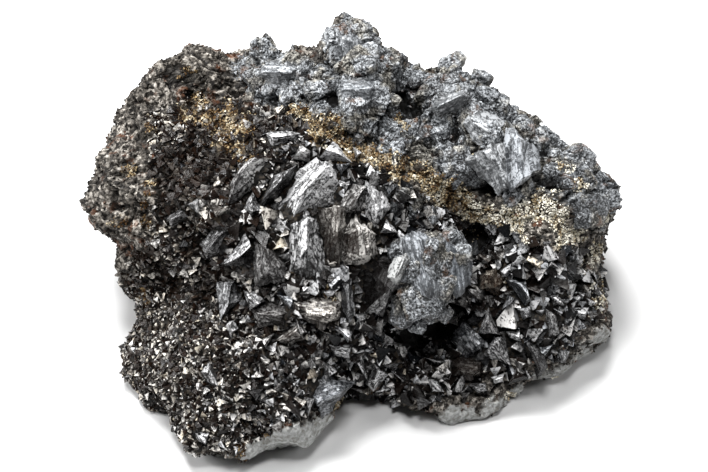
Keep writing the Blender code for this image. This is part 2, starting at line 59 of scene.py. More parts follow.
rock = {
    "frontDepth": 13.0,
    "backDepth": 41.0,
    "shoulder": 2.4,
    "swellStart": 2.5,
    "lumps": [(22.0, 1.3, 11), (9.0, 0.8, 12)],
    "rim": [
        (50.4, -0.8, -9), (52.0, 7.1, -8), (50.6, 11.0, -8), (47.8, 16.5, -8), (43.9, 16.9, -7),
        (40.8, 21.2, -7), (35.9, 24.7, -6), (31.0, 25.9, -6), (28.6, 27.8, -6), (24.3, 29.2, -6),
        (20.2, 32.9, -5), (13.9, 32.9, -4), (10.6, 34.9, -4), (9.8, 37.8, -4), (5.7, 40.4, -4),
        (3.5, 42.4, -4), (-2.7, 43.7, -4), (-5.1, 42.0, -4), (-6.3, 39.8, -5), (-10.6, 37.6, -5),
        (-13.9, 37.0, -6), (-17.3, 39.8, -6), (-19.8, 38.0, -7), (-24.7, 36.9, -8), (-34.1, 37.0, -9),
        (-41.0, 33.9, -9), (-47.2, 28.2, -8), (-48.2, 22.7, -8), (-50.8, 20.2, -7), (-53.1, 10.6, -5),
        (-51.8, 6.1, -5), (-52.9, 1.6, -5), (-49.2, -1.8, -5), (-47.5, -6.3, -5), (-42.0, -12.5, -4),
        (-43.7, -15.3, -5), (-46.3, -22.4, -7), (-45.5, -28.6, -4), (-41.0, -33.1, -1), (-36.5, -35.3, 1),
        (-35.5, -39.2, 5), (-31.2, -41.4, 7), (-20.4, -43.3, 9), (-12.2, -42.7, 8), (-5.7, -38.0, 4),
        (-0.4, -34.3, 0), (9.4, -32.5, -1), (14.9, -35.7, 2), (22.4, -36.9, 3), (26.1, -34.3, 0),
        (34.5, -31.4, -3), (43.3, -26.9, -7), (48.2, -23.7, -9), (50.8, -19.4, -10), (51.2, -12.5, -10),
    ],
    # Swells and hollows as (across, up, radius, height).
    "swells": [
        (-10.0, 6.0, 13.0, 6.0), (-27.0, -27.0, 12.0, 4.0), (-24.0, -12.5, 5.0, -2.5), (34.5, -15.0, 9.0, 3.0),
        (37.0, 3.0, 7.0, 4.5), (30.0, 15.0, 7.0, 3.0), (-44.0, 9.0, 8.0, 3.5), (14.9, -20.4, 6.0, -9.0),
        (8.0, -21.5, 4.5, -4.5), (22.8, -7.0, 4.5, -7.0), (24.5, 0.0, 4.0, -5.0), (24.0, -30.0, 7.0, -3.0),
        (-33.0, 28.6, 3.5, -5.0), (10.5, 26.5, 3.0, -5.0), (18.0, 10.0, 6.0, -2.5), (-27.0, 20.0, 8.0, -3.0),
    ],
}


def toRow(points):
    # Turns display millimetres into row-frame metres: a turn about the across axis and a shift.
    lift, lean = math.sin(display["tilt"]), math.cos(display["tilt"])
    across, up, toward = points[..., 0], points[..., 1], points[..., 2]
    row = np.stack([across, up * lift - toward * lean, up * lean + toward * lift], -1)
    return (row + display["centre"]) * 0.001


def unit(vectors):
    return vectors / np.maximum(np.linalg.norm(vectors, axis=-1, keepdims=True), 1e-9)


def smooth(value, low, high):
    # An S-shaped rise from 0 at low to 1 at high.
    share = np.clip((value - low) / (high - low), 0, 1)
    return share * share * (3 - 2 * share)


def waves(points, size, seed, count=24):
    # A smooth random field: plane waves of about one size in random directions.
    rng = np.random.default_rng(seed)
    heading = rng.normal(size=(count, 3))
    heading /= np.linalg.norm(heading, axis=1)[:, None]
    vectors = heading * (math.tau / size) * rng.uniform(0.7, 1.3, (count, 1))
    phases = rng.uniform(0, math.tau, count)
    return np.sin(points @ vectors.T + phases).sum(1) / math.sqrt(count / 2)


def cellFields(points, size, seed, order=2):
    # One random site in every cube of a grid. Gives the gaps to the nearest two and a random number of the nearest.
    # The order picks the gap's norm: 2 gives rounded cells, an endless one gives boxes along the axes.
    scaled = points / size
    base = np.floor(scaled)
    nearest = np.full(len(points), 9.0)
    second = nearest.copy()
    tag = np.zeros(len(points))
    keys = np.array([[127.1, 311.7, 74.7], [269.5, 183.3, 246.1], [113.5, 271.9, 124.6]])
    for offset in np.ndindex(3, 3, 3):
        cube = base + np.array(offset) - 1
        jitter = np.modf(np.abs(np.sin(cube @ keys.T + seed) * 43758.5453))[0]
        gap = np.linalg.norm(cube + jitter - scaled, order, axis=1)
        closer = gap < nearest
        second = np.where(closer, nearest, np.minimum(second, gap))
        tag = np.where(closer, jitter[:, 0], tag)
        nearest = np.where(closer, gap, nearest)
    return nearest, second, tag


def bell(across, up, place, reach):
    # 1 at a place, falling with the square of the distance from it.
    return np.exp(-((across - place[0]) ** 2 + (up - place[1]) ** 2) / (2 * reach**2))


def gridQuads(count):
    # The point numbers of a square grid and the four of each of its cells.
    index = np.arange((count + 1) ** 2).reshape(count + 1, count + 1)
    quads = np.stack([index[:-1, :-1], index[1:, :-1], index[1:, 1:], index[:-1, 1:]], -1)
    return index, quads.reshape(-1, 4)


def rimAt(angles):
    # Rim radius and rim depth at angles round the display centre, in straight steps between the rim points.
    points = np.array(rock["rim"], float)
    at = np.arctan2(points[:, 1], points[:, 0]) % math.tau
    order = np.argsort(at)
    radius = np.hypot(points[:, 0], points[:, 1])[order]
    turns = angles % math.tau
    return (
        np.interp(turns, at[order], radius, period=math.tau),
        np.interp(turns, at[order], points[order, 2], period=math.tau),
    )


def outwardFan(directions):
    # Outward directions of the rock for directions from its middle.
    bulge = np.sign(directions[:, 2]) * np.abs(directions[:, 2]) ** (2 / rock["shoulder"])
    return unit(np.stack([directions[:, 0], directions[:, 1], bulge], 1))


def boulder(directions):
    # A rounded rock: along every half meridian the distance from the axis rises as a power of the sine of the
    # angle from the front pole, and the depth as the same power of its cosine, so the rim carries the outline.
    radius, rimDepth = rimAt(np.arctan2(directions[:, 1], directions[:, 0]))
    facing = np.clip(directions[:, 2], -1, 1)
    spread = np.sqrt(1 - facing**2) ** (2 / rock["shoulder"])
    bulge = np.sign(facing) * np.abs(facing) ** (2 / rock["shoulder"])
    turn = unit(directions[:, :2] + 1e-12)
    across, up = radius * spread * turn[:, 0], radius * spread * turn[:, 1]
    depth = np.where(bulge > 0, rock["frontDepth"], rock["backDepth"])
    toward = rimDepth * spread + depth * bulge
    for x, y, reach, rise in rock["swells"]:
        toward += rise * bell(across, up, (x, y), reach) * np.clip(bulge * rock["swellStart"], 0, 1)
    points = np.stack([across, up, toward], 1)
    relief = sum(height * waves(points, size, seed) for size, height, seed in rock["lumps"])
    return points + outwardFan(directions) * relief[:, None]


def frontDirections(across, up):
    # The unit directions whose surface points lie at (across, up) on the display side.
    angle = np.arctan2(up, across)
    spread = np.minimum(np.hypot(across, up) / rimAt(angle)[0], 0.995)
    sine = spread ** (rock["shoulder"] / 2)
    return np.stack([sine * np.cos(angle), sine * np.sin(angle), np.sqrt(1 - sine**2)], 1)


def frontPoints(places):
    # Surface points and outward normals at rows of (across, up), from differences over a short step.
    step = 1.2
    here, beside, above = (
        boulder(frontDirections(places[:, 0] + dx, places[:, 1] + dy)) for dx, dy in ((0, 0), (step, 0), (0, step))
    )
    normals = unit(np.cross(beside - here, above - here))
    return here, normals * np.sign(normals[:, 2:3])


def edgeDistance(across, up, corners):
    # Signed distance to a polygon's edge, positive inside. Inside means an odd number of edges to the right.
    inner = np.zeros(len(across), bool)
    nearest = np.full(len(across), 1e9)
    for (x0, y0), (x1, y1) in zip(corners, corners[1:] + corners[:1]):
        spans = (y0 > up) != (y1 > up)
        rise = y1 - y0 if y1 != y0 else 1e-9
        inner ^= spans & (across < x0 + (up - y0) * (x1 - x0) / rise)
        along = ((across - x0) * (x1 - x0) + (up - y0) * (y1 - y0)) / ((x1 - x0) ** 2 + (y1 - y0) ** 2)
        along = np.clip(along, 0, 1)
        gap = np.hypot(across - x0 - along * (x1 - x0), up - y0 - along * (y1 - y0))
        nearest = np.minimum(nearest, gap)
    return np.where(inner, nearest, -nearest)


# Where the minerals lie, as corners and spots of the display view.
zones = {
    "crust": [
        (-40.0, 25.5), (-40.0, 16.0), (-38.4, 7.0), (-40.0, -0.8), (-43.9, -5.7), (-49.5, -11.0),
        (-51.0, -22.4), (-49.5, -30.6), (-40.0, -38.0), (-37.0, -42.0), (-20.0, -43.5), (-18.0, -38.0),
        (-13.0, -35.4), (-4.9, -33.2), (4.1, -31.6), (12.0, -32.0), (19.0, -30.8), (30.0, -27.4), (40.0, -23.4),
        (45.0, -19.2), (49.0, -14.8), (51.0, -8.0), (45.0, -4.0), (35.0, -2.0), (30.0, 0.5),
        (23.5, 1.0), (17.0, 5.0), (11.0, 8.5), (3.0, 14.0), (-3.0, 18.0), (-10.0, 22.5),
        (-20.0, 25.5), (-30.0, 28.0),
    ],
    "galena": [
        (-23.9, 34.5), (-17.5, 42.4), (-10.6, 35.5), (-4.7, 35.5), (-2.5, 48.0), (8.0, 45.0), (12.0, 34.6),
        (22.7, 35.0), (30.0, 29.0), (38.0, 28.0), (44.0, 22.0), (52.0, 17.0), (56.0, 7.1), (50.6, 0.2),
        (40.4, 7.6), (32.5, 6.1), (24.7, 9.0), (19.8, 10.0), (13.9, 12.9), (5.1, 16.9), (-2.7, 20.8),
        (-10.6, 25.2), (-18.0, 26.1), (-22.4, 29.6),
    ],
    # Tan siderite grains as (across, up, radius).
    "siderite": [
        (-32.2, 25.2, 2.6), (-29.8, 24.6, 3.0), (-27.3, 24.2, 3.0), (-24.9, 23.0, 2.8), (-22.4, 22.0, 2.4),
        (-23.3, 16.9, 2.0), (-20.8, 13.9, 1.7), (-25.4, 19.2, 2.0), (-5.2, -10.4, 2.0), (-2.8, -9.4, 1.6),
        (48.6, -9.4, 1.6), (49.4, -12.4, 1.4), (-11.6, 24.8, 2.0), (-8.6, 23.5, 2.2),
        (-6.4, 21.5, 2.2), (-4.7, 19.8, 2.2), (-1.4, 17.3, 2.0), (0.4, 16.6, 1.6), (2.4, 15.9, 1.9),
        (4.4, 15.2, 2.0),
        (6.1, 14.3, 2.4), (8.0, 13.4, 2.4), (10.0, 12.7, 2.6), (12.5, 11.8, 2.2), (14.9, 11.0, 2.3),
        (17.0, 9.4, 2.3),
        (18.8, 8.0, 2.6), (20.8, 6.9, 2.4), (22.4, 5.6, 2.7), (24.3, 3.6, 2.6), (27.0, 2.7, 2.0), (31.0, 2.8, 2.9),
        (33.0, 4.6, 2.3), (34.6, 5.4, 2.4), (37.6, 6.0, 2.5), (40.0, 3.9, 2.4), (43.5, 0.4, 2.2), (41.0, -2.5, 1.6),
        (46.7, -6.3, 1.8), (49.4, -2.7, 1.6), (49.4, -9.6, 1.5), (50.2, 3.6, 1.2), (50.0, -14.5, 1.2),
        (-20.4, -41.4, 1.6), (-17.3, -39.8, 1.6), (-14.0, -38.4, 1.0), (-1.8, -34.0, 1.3), (2.0, -33.2, 1.1),
        (19.8, -36.6, 1.6), (24.0, -35.6, 1.3), (27.5, -33.4, 1.5), (31.8, -32.0, 1.5), (41.0, -27.6, 1.4),
        (46.0, -24.2, 1.2), (-40.0, 10.8, 0.9), (-40.2, 6.5, 0.9), (-39.8, 2.5, 1.0), (-41.4, 22.6, 1.0),
        (-6.1, -10.0, 1.5), (11.0, -10.6, 1.5), (28.7, -8.6, 1.1), (9.0, 22.8, 1.3), (-34.1, 32.5, 1.3),
        (-46.0, 4.0, 1.4), (-44.0, 13.5, 1.3), (-42.5, -12.0, 1.0), (16.0, -1.5, 1.1), (33.5, -1.6, 1.4),
        (-15.5, 32.0, 1.1), (-12.6, 29.0, 1.0), (42.0, 13.8, 1.1), (44.5, 10.3, 1.3), (24.5, 14.8, 0.9),
    ],
    # Values from which and up to which a mask rises, and how far toward the viewer a direction has to point for
    # none and all of it.
    "edges": {
        "crust": (-0.6, 0.6, -0.28, -0.1), "galena": (-0.8, 0.8, -0.45, -0.2), "siderite": (-0.25, 0.3, -0.1, 0.05),
        "rim": (0.0, 0.25, -0.5, -0.3), "holes": (-0.2, 0.5, -0.1, 0.05),
    },
    # Waves that fray the edges, as (size, reach, seed).
    "fraying": [(7.0, 0.6, 41), (2.0, 0.35, 43)],
    # Smooth pale faces of the base and holes, which the skin sinks and paints black as shade, both as (across, up,
    # radius).
    "rim": [
        (-17.5, -42.2, 3.6), (-13.5, -40.4, 4.2), (-9.5, -39.2, 4.0), (-6.0, -37.2, 2.8), (19.0, -36.4, 2.6),
        (23.5, -36.4, 3.2), (28.0, -34.0, 2.8), (33.0, -31.6, 2.4), (38.0, -29.2, 2.6), (42.0, -26.8, 2.8),
        (46.6, -24.2, 3.0), (49.6, -20.5, 2.4),
    ],
    "holes": [
        (10.0, 26.9, 1.3), (11.3, 25.4, 1.6), (25.7, 9.0, 1.8), (39.0, 10.8, 1.9), (-3.7, 27.0, 1.4),
        (-33.0, 28.6, 1.0), (33.2, 21.6, 1.2),
        (36.6, 12.0, 1.2), (19.8, 20.6, 1.2), (23.8, -0.4, 2.6), (-8.4, 36.6, 1.5), (14.9, 19.0, 1.2),
        (22.8, -5.0, 2.4), (22.4, -10.0, 2.6), (21.0, -14.6, 2.6), (17.2, -18.6, 3.8), (12.4, -20.6, 3.6),
        (7.6, -20.2, 2.4),
    ],
}


def nearSpots(across, up, spots):
    # 1 at the middle of the nearest spot, falling in a straight line to 0 at its radius and on below it.
    return np.max([1 - np.hypot(across - x, up - y) / reach for x, y, reach in spots], axis=0)


def zoneMasks(points, facing):
    # Mask of each mineral at display points. A few waves fray the edges; the back keeps none of the front's crust.
    wander = sum(
        np.stack([waves(points, size, seed), waves(points, size, seed + 1)], 1) * reach
        for size, reach, seed in zones["fraying"]
    )
    across, up = points[:, 0] + wander[:, 0], points[:, 1] + wander[:, 1]

    def masked(key, value):
        start, end, backStart, backEnd = zones["edges"][key]
        return smooth(value, start, end) * smooth(facing, backStart, backEnd)

    crust = masked("crust", edgeDistance(across, up, zones["crust"]))
    galena = masked("galena", edgeDistance(across, up, zones["galena"]))
    siderite = masked("siderite", nearSpots(across, up, zones["siderite"]))
    rim = masked("rim", nearSpots(across, up, zones["rim"]))
    hole = masked("holes", nearSpots(points[:, 0], points[:, 1], zones["holes"]))
    return {"crust": crust * (1 - rim), "galena": galena, "siderite": siderite * (1 - rim), "rim": rim, "hole": hole}


def turnsTo(apex, spin):
    # One turn for each crystal: its third axis along the apex, the other two spun about it.
    third = unit(apex)
    guide = np.where(np.abs(third[:, 2:3]) < 0.9, [[0.0, 0.0, 1.0]], [[1.0, 0.0, 0.0]])
    first = unit(np.cross(guide, third))
    second = np.cross(third, first)
    cosine, sine = np.cos(spin)[:, None], np.sin(spin)[:, None]
    return np.stack([first * cosine + second * sine, second * cosine - first * sine, third], -1)


def pointNormals(points, triangles):
    # Area-weighted mean of the triangle normals round each point.
    a, b, c = (points[triangles[:, k]] for k in range(3))
    faces = np.cross(b - a, c - a)
    total = np.zeros_like(points)
    for k in range(3):
        np.add.at(total, triangles[:, k], faces)
    return unit(total)


def newPiece(name, points, loops, totals, material, attributes):
    # A mesh from flat arrays: points in display millimetres, the faces' corners end to end and each face's count.
    mesh = bpy.data.meshes.new(name)
    row = toRow(points)
    # What reaches below the floor is flattened on it and drawn inward, so that nothing shows round the foot.
    buried = np.maximum(-row[:, 2], 0.0)
    row[:, :2] *= 1 - np.clip(4 * buried / np.maximum(np.hypot(row[:, 0], row[:, 1]), 1e-4), 0, 0.6)[:, None]
    row[:, 2] = np.maximum(row[:, 2], 0.0)
    mesh.vertices.add(len(row))
    mesh.vertices.foreach_set("co", row.astype(np.float32).ravel())
    mesh.loops.add(len(loops))
    mesh.loops.foreach_set("vertex_index", np.asarray(loops, np.int32))
    mesh.polygons.add(len(totals))
    starts = np.concatenate([[0], np.cumsum(totals)[:-1]]).astype(np.int32)
    mesh.polygons.foreach_set("loop_start", starts)
    mesh.polygons.foreach_set("use_smooth", np.zeros(len(totals), bool))
    mesh.update(calc_edges=True)
    for label, (domain, values) in attributes.items():
        values = np.asarray(values, np.float32)
        kind, field = ("FLOAT_VECTOR", "vector") if values.ndim == 2 else ("FLOAT", "value")
        mesh.attributes.new(label, kind, domain).data.foreach_set(field, values.ravel())
    mesh.materials.append(material)
    piece = bpy.data.objects.new(name, mesh)
    bpy.context.scene.collection.objects.link(piece)
    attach(piece, "root")
    print(f"{name}: {len(totals)} faces, {len(loops) - 2 * len(totals)} triangles")
    return piece


# Materials. Each takes its places from object coordinates, turned into millimetres.
def feed(tree, socket, value):
    # Links another socket or sets a fixed value. None leaves the socket as it is.
    if isinstance(value, bpy.types.NodeSocket):
        tree.links.new(value, socket)
    elif value is not None:
        socket.default_value = (*value, 1) if socket.type == "RGBA" else value


def feedNamed(tree, sockets, values):
    for label, value in values.items():
        feed(tree, sockets[label], value)


def node(tree, kind, *values, **settings):
    # A shader node, its first inputs fed in their order.
    made = tree.nodes.new("ShaderNode" + kind)
    for key, value in settings.items():
        setattr(made, key, value)
    for socket, value in zip(made.inputs, values):
        feed(tree, socket, value)
    return made


def calculate(tree, operation, *values, **settings):
    return node(tree, "Math", *values, operation=operation, **settings).outputs[0]


def mapped(tree, value, start, end, low=0.0, high=1.0):
    # Start turns into low and end into high, with a straight line between and no change beyond.
    return node(tree, "MapRange", value, start, end, low, high).outputs[0]


def noise(tree, place, scale, detail, roughness=0.5):
    return node(tree, "TexNoise", place, None, scale, detail, roughness).outputs[0]


def ramp(tree, value, stops):
    # Colours or greys between stops, each stop a place and a colour or one number.
    made = node(tree, "ValToRGB", value)
    elements = made.color_ramp.elements
    while len(elements) < len(stops):
        elements.new(0.5)
    for element, (position, colour) in zip(elements, stops):
        element.position = position
        element.color = (*colour, 1) if isinstance(colour, tuple) else (colour, colour, colour, 1)
    return made.outputs[0]


def mixColours(tree, factor, first, second):
    made = node(tree, "Mix", factor, data_type="RGBA")
    feed(tree, made.inputs[6], first)
    feed(tree, made.inputs[7], second)
    return made.outputs[2]


def bumped(tree, strength, depth, height):
    made = node(tree, "Bump", strength)
    feedNamed(tree, made.inputs, {"Distance": depth, "Height": height})
    return made.outputs[0]


def attribute(tree, name, output="Fac"):
    return node(tree, "Attribute", attribute_name=name).outputs[output]


def millimetres(tree):
    # Object coordinates in millimetres.
    place = node(tree, "TexCoord").outputs["Object"]
    scaled = node(tree, "VectorMath", place, operation="SCALE")
    scaled.inputs["Scale"].default_value = 1000
    return scaled.outputs[0]


def newGroup(name, takes, gives):
    # A node group with named sockets: its tree, what it takes in and what it has to feed.
    group = bpy.data.node_groups.new(name, "ShaderNodeTree")
    for way, sockets in (("INPUT", takes), ("OUTPUT", gives)):
        for label, kind in sockets.items():
            group.interface.new_socket(label, in_out=way, socket_type="NodeSocket" + kind)
    return group, group.nodes.new("NodeGroupInput").outputs, group.nodes.new("NodeGroupOutput").inputs


def useGroup(tree, group, **values):
    # A group in a tree, with its inputs fed by name. Gives its outputs.
    made = tree.nodes.new("ShaderNodeGroup")
    made.node_tree = group
    feedNamed(tree, made.inputs, values)
    return made.outputs


def newMaterial(name):
    material = bpy.data.materials.new(name)
    material.use_nodes = True
    tree = material.node_tree
    return material, tree, tree.nodes["Principled BSDF"].inputs


# Granular rock: detail and roughness of the noise, the stops that steepen it, the shares of cells and noise in the
# shade, the noise's part of the height and the cell values that spark.
grainPaint = {
    "noise": (4.0, 0.65),
    "steepness": [(0.36, 0.0), (0.62, 1.0)],
    "shares": (0.45, 0.55),
    "roughness": 0.6,
    "spark": (0.86, 0.97),
}


def grainGroup():
    # Each cell has its own brightness, blended with steepened noise. The height falls with the distance from the
    # cells' middles.
    group, entry, leave = newGroup(
        "grains", {"Place": "Vector", "Scale": "Float"}, {"Shade": "Float", "Height": "Float", "Spark": "Float"}
    )
    cells = node(group, "TexVoronoi", entry["Place"], None, entry["Scale"], feature="F1").outputs
    clouds = noise(group, entry["Place"], entry["Scale"], *grainPaint["noise"])
    bright = node(group, "SeparateColor", cells["Color"]).outputs
    cellShare, cloudShare = grainPaint["shares"]
    clouded = calculate(group, "MULTIPLY", ramp(group, clouds, grainPaint["steepness"]), cloudShare)
    falling = calculate(group, "SUBTRACT", 1.0, cells["Distance"])
    feedNamed(group, leave, {
        "Shade": calculate(group, "MULTIPLY_ADD", bright[0], cellShare, clouded),
        "Height": calculate(group, "MULTIPLY_ADD", clouds, grainPaint["roughness"], falling),
        "Spark": mapped(group, bright[1], *grainPaint["spark"]),
    })
    return group


# Growth lines on a crystal: the stretch of its own coordinates, and scale, detail and roughness of lines and pits.
striaePaint = {
    "stretch": (0.34, 2.1, 0.8),
    "lines": (1.0, 3.0, 0.6),
    "pits": (1.5, 5.0, 0.75),
}


def striaeGroup():
    # Noise stretched along one axis of the crystal, plus fine pits.
    group, entry, leave = newGroup("striae", {"Place": "Vector"}, {"Lines": "Float", "Pits": "Float"})
    place = entry["Place"]
    stretched = node(group, "VectorMath", place, striaePaint["stretch"], operation="MULTIPLY").outputs[0]
    feedNamed(group, leave, {
        "Lines": noise(group, stretched, *striaePaint["lines"]), "Pits": noise(group, place, *striaePaint["pits"]),
    })
    return group


galenaPaint = {
    # Dark, middle and light colours of two kinds, and the shades at which they lie.
    "blue": ((0.008, 0.009, 0.010), (0.135, 0.143, 0.152), (0.46, 0.48, 0.50)),
    "olive": ((0.008, 0.007, 0.005), (0.100, 0.092, 0.076), (0.38, 0.36, 0.31)),
    "stops": (0.08, 0.45, 1.0),
    "stain": (0.115, 0.052, 0.020),
    "pore": (0.008, 0.007, 0.006),
    "grain": 2.6,
    "contrast": 1.2,
    "lift": -0.13,
    # Scale and detail of the slow noise that shares out the olive kind, and its stops.
    "patch": (0.2, 3.0),
    "patches": [(0.50, 0.0), (0.60, 0.85)],
    # Pores: the scale of their cells, the distances at which they begin and are full, their noise, the values of it
    # that allow them and that stain, and how deep they are.
    "pores": 1.6,
    "poreReach": (0.36, 0.24),
    "poreNoise": (0.30, 3.0),
    "poreLimits": (0.42, 0.52),
    "stains": [(0.60, 0.0), (0.72, 0.6)],
    "poreDepth": -1.6,
    # Roughness without and with a spark, and how far the growth lines and the whole relief rise.
    "roughness": (0.55, 0.28),
    "metal": 0.1,
    "lines": 0.9,
    "bump": (0.3, 0.0005),
}


def galenaGroup():
    # Galena and the rock it fades into: a blue-grey and an olive-grey ramp over the grains, shared out by slow
    # noise, with small dark pores where a cell's middle is near and a second noise allows it.
    group, entry, leave = newGroup(
        "galena look", {"Place": "Vector", "Tone": "Float"}, {"Colour": "Color", "Height": "Float", "Spark": "Float"}
    )
    paint, place = galenaPaint, entry["Place"]
    look = useGroup(group, grains, Place=place, Scale=paint["grain"])
    lifted = calculate(group, "ADD", paint["lift"], entry["Tone"])
    shifted = calculate(group, "MULTIPLY_ADD", look["Shade"], paint["contrast"], lifted)
    blue, olive = (ramp(group, shifted, list(zip(paint["stops"], paint[key]))) for key in ("blue", "olive"))
    patches = ramp(group, noise(group, place, *paint["patch"]), paint["patches"])
    cells = node(group, "TexVoronoi", place, None, paint["pores"], feature="F1").outputs
    allow = noise(group, place, *paint["poreNoise"])
    near, some = mapped(group, cells["Distance"], *paint["poreReach"]), mapped(group, allow, *paint["poreLimits"])
    pores = calculate(group, "MULTIPLY", near, some)
    colour = mixColours(group, patches, blue, olive)
    colour = mixColours(group, ramp(group, allow, paint["stains"]), colour, paint["stain"])
    feedNamed(group, leave, {
        "Colour": mixColours(group, pores, colour, paint["pore"]),
        "Height": calculate(group, "MULTIPLY_ADD", pores, paint["poreDepth"], look["Height"]),
        "Spark": look["Spark"],
    })
    return group


grains, striae = grainGroup(), striaeGroup()
galenaLook = galenaGroup()

rockPaint = {
    # Dark, middle and light colours of each mineral, and the shades at which they lie.
    "dark": ((0.005, 0.004, 0.003), (0.088, 0.078, 0.066), (0.42, 0.39, 0.35)),
    # The crust is black sphalerite, made darker still as painted shade in the gaps between the crystals.
    "crust": ((0.001, 0.001, 0.001), (0.005, 0.004, 0.003), (0.04, 0.03, 0.02)),
    "siderite": ((0.004, 0.003, 0.002), (0.040, 0.028, 0.016), (0.30, 0.25, 0.18)),
    "rim": ((0.13, 0.125, 0.11), (0.245, 0.25, 0.245), (0.37, 0.375, 0.365)),
    "stops": (0.12, 0.55, 0.95),
    # The hollow colour is painted shade in sunken relief and in the holes.
    "hollow": (0.004, 0.0035, 0.003),
    # Rust stains: their colour, the scale and detail of their noise, and its stops.
    "rust": (0.10, 0.035, 0.012),
    "rustNoise": (0.30, 3.0),
    "rusty": [(0.58, 0.0), (0.68, 0.7)],
    "grain": 1.15,
    "roughness": (0.75, 0.35),
    "specular": 0.25,
    "bump": (0.55, 0.0006),
}


def makeRockMaterial():
    # Minerals laid over one another by masks, each a ramp of three colours over the same grains, and last the
    # painted shade of the hollows.
    material, tree, shader = newMaterial("rock")
    paint, place, tone = rockPaint, millimetres(tree), attribute(tree, "tone")
    look = useGroup(tree, grains, Place=place, Scale=paint["grain"])
    shifted = calculate(tree, "ADD", look["Shade"], tone)
    dark, crust, siderite, rim = (
        ramp(tree, shifted, list(zip(paint["stops"], paint[key]))) for key in ("dark", "crust", "siderite", "rim")
    )
    sulphide = useGroup(tree, galenaLook, Place=place, Tone=tone)
    rusty = ramp(tree, noise(tree, place, *paint["rustNoise"]), paint["rusty"])
    colour = mixColours(tree, rusty, dark, paint["rust"])
    layers = {
        "galena": sulphide["Colour"], "crust": crust, "siderite": siderite, "rim": rim, "hollow": paint["hollow"],
    }
    for key, layer in layers.items():
        colour = mixColours(tree, attribute(tree, key), colour, layer)
    feedNamed(tree, shader, {
        "Base Color": colour, "Roughness": mapped(tree, look["Spark"], 0.0, 1.0, *paint["roughness"]),
        "Specular IOR Level": paint["specular"], "Normal": bumped(tree, *paint["bump"], look["Height"]),
    })
    return material


def makeGalenaMaterial():
    # The galena look, lighter where a piece's own tone says so, with faint growth lines in its height.
    material, tree, shader = newMaterial("galena")
    look = useGroup(tree, galenaLook, Place=millimetres(tree), Tone=attribute(tree, "tone"))
    lines = useGroup(tree, striae, Place=attribute(tree, "facet", "Vector"))["Lines"]
    height = calculate(tree, "MULTIPLY_ADD", lines, galenaPaint["lines"], look["Height"])
    feedNamed(tree, shader, {
        "Base Color": look["Colour"], "Metallic": galenaPaint["metal"],
        "Roughness": mapped(tree, look["Spark"], 0.0, 1.0, *galenaPaint["roughness"]),
        "Normal": bumped(tree, *galenaPaint["bump"], height),
    })
    return material


sideritePaint = {
    # From dark brown over ochre and tan to cream, as (place, colour).
    "shades": [
        (0.0, (0.010, 0.006, 0.003)), (0.25, (0.085, 0.046, 0.020)), (0.5, (0.27, 0.20, 0.11)),
        (0.75, (0.50, 0.44, 0.32)), (1.0, (0.74, 0.71, 0.62)),
    ],
    # How much lighter the grains turn from left to right, as (across, shift).
    "lean": [(-40, -0.24), (-20, -0.16), (-5, -0.04), (10, -0.08), (20, 0.04), (30, 0.48), (45, 0.42)],
    # How far patches of some millimetres differ in tone, and the field values from which and up to which they fill.
    "patch": 0.18,
    "gaps": (-0.15, 0.35),
    "roughness": 0.9,
    "specular": 0.05,
}


def makeSideriteMaterial():
    # Each grain's tone picks its colour.
    material, tree, shader = newMaterial("siderite")
    feedNamed(tree, shader, {
        "Base Color": ramp(tree, attribute(tree, "tone"), sideritePaint["shades"]),
        "Roughness": sideritePaint["roughness"], "Specular IOR Level": sideritePaint["specular"],
    })
    return material


crystalPaint = {
    "black": (0.004, 0.0035, 0.0035),
    "brown": (0.022, 0.011, 0.006),
    "blue": (0.024, 0.031, 0.040),
    "silver": (0.78, 0.78, 0.79),
    "tan": (0.70, 0.61, 0.46),
    "steel": (0.48, 0.55, 0.64),
    # The root colour is painted shade at a crystal's foot.
    "root": (0.0015, 0.0012, 0.001),
    "index": 1.42,
    "specular": 0.25,
    "smoothness": (0.10, 0.34),
    "bump": (0.35, 0.0005),
}
# The smooth cleavage faces of the galena.
platePaint = {
    "black": (0.040, 0.043, 0.047),
    "brown": (0.040, 0.037, 0.030),
    "blue": (0.036, 0.042, 0.050),
    "silver": (0.52, 0.54, 0.565),
    "tan": (0.44, 0.43, 0.38),
    "steel": (0.38, 0.42, 0.47),
    # The root colour is painted shade at a plate's foot.
    "root": (0.005, 0.005, 0.005),
    "index": 1.45,
    "specular": 0.4,
    "smoothness": (0.30, 0.50),
    "bump": (0.3, 0.0005),
}
# How pits and growth lines break the frost, which is partly frosted faces and partly painted glints and
# highlights, as (value from, value to, share from, share to), the power of a face's tone, the pits that set the
# roughness, and the part of the pits in the relief.
frostAndGlints = {
    "pits": (0.42, 0.55, 0.08, 1.5),
    "lines": (0.40, 0.53, 0.35, 1.2),
    "power": 1.35,
    "rough": (0.3, 0.7),
    "relief": 0.5,
}


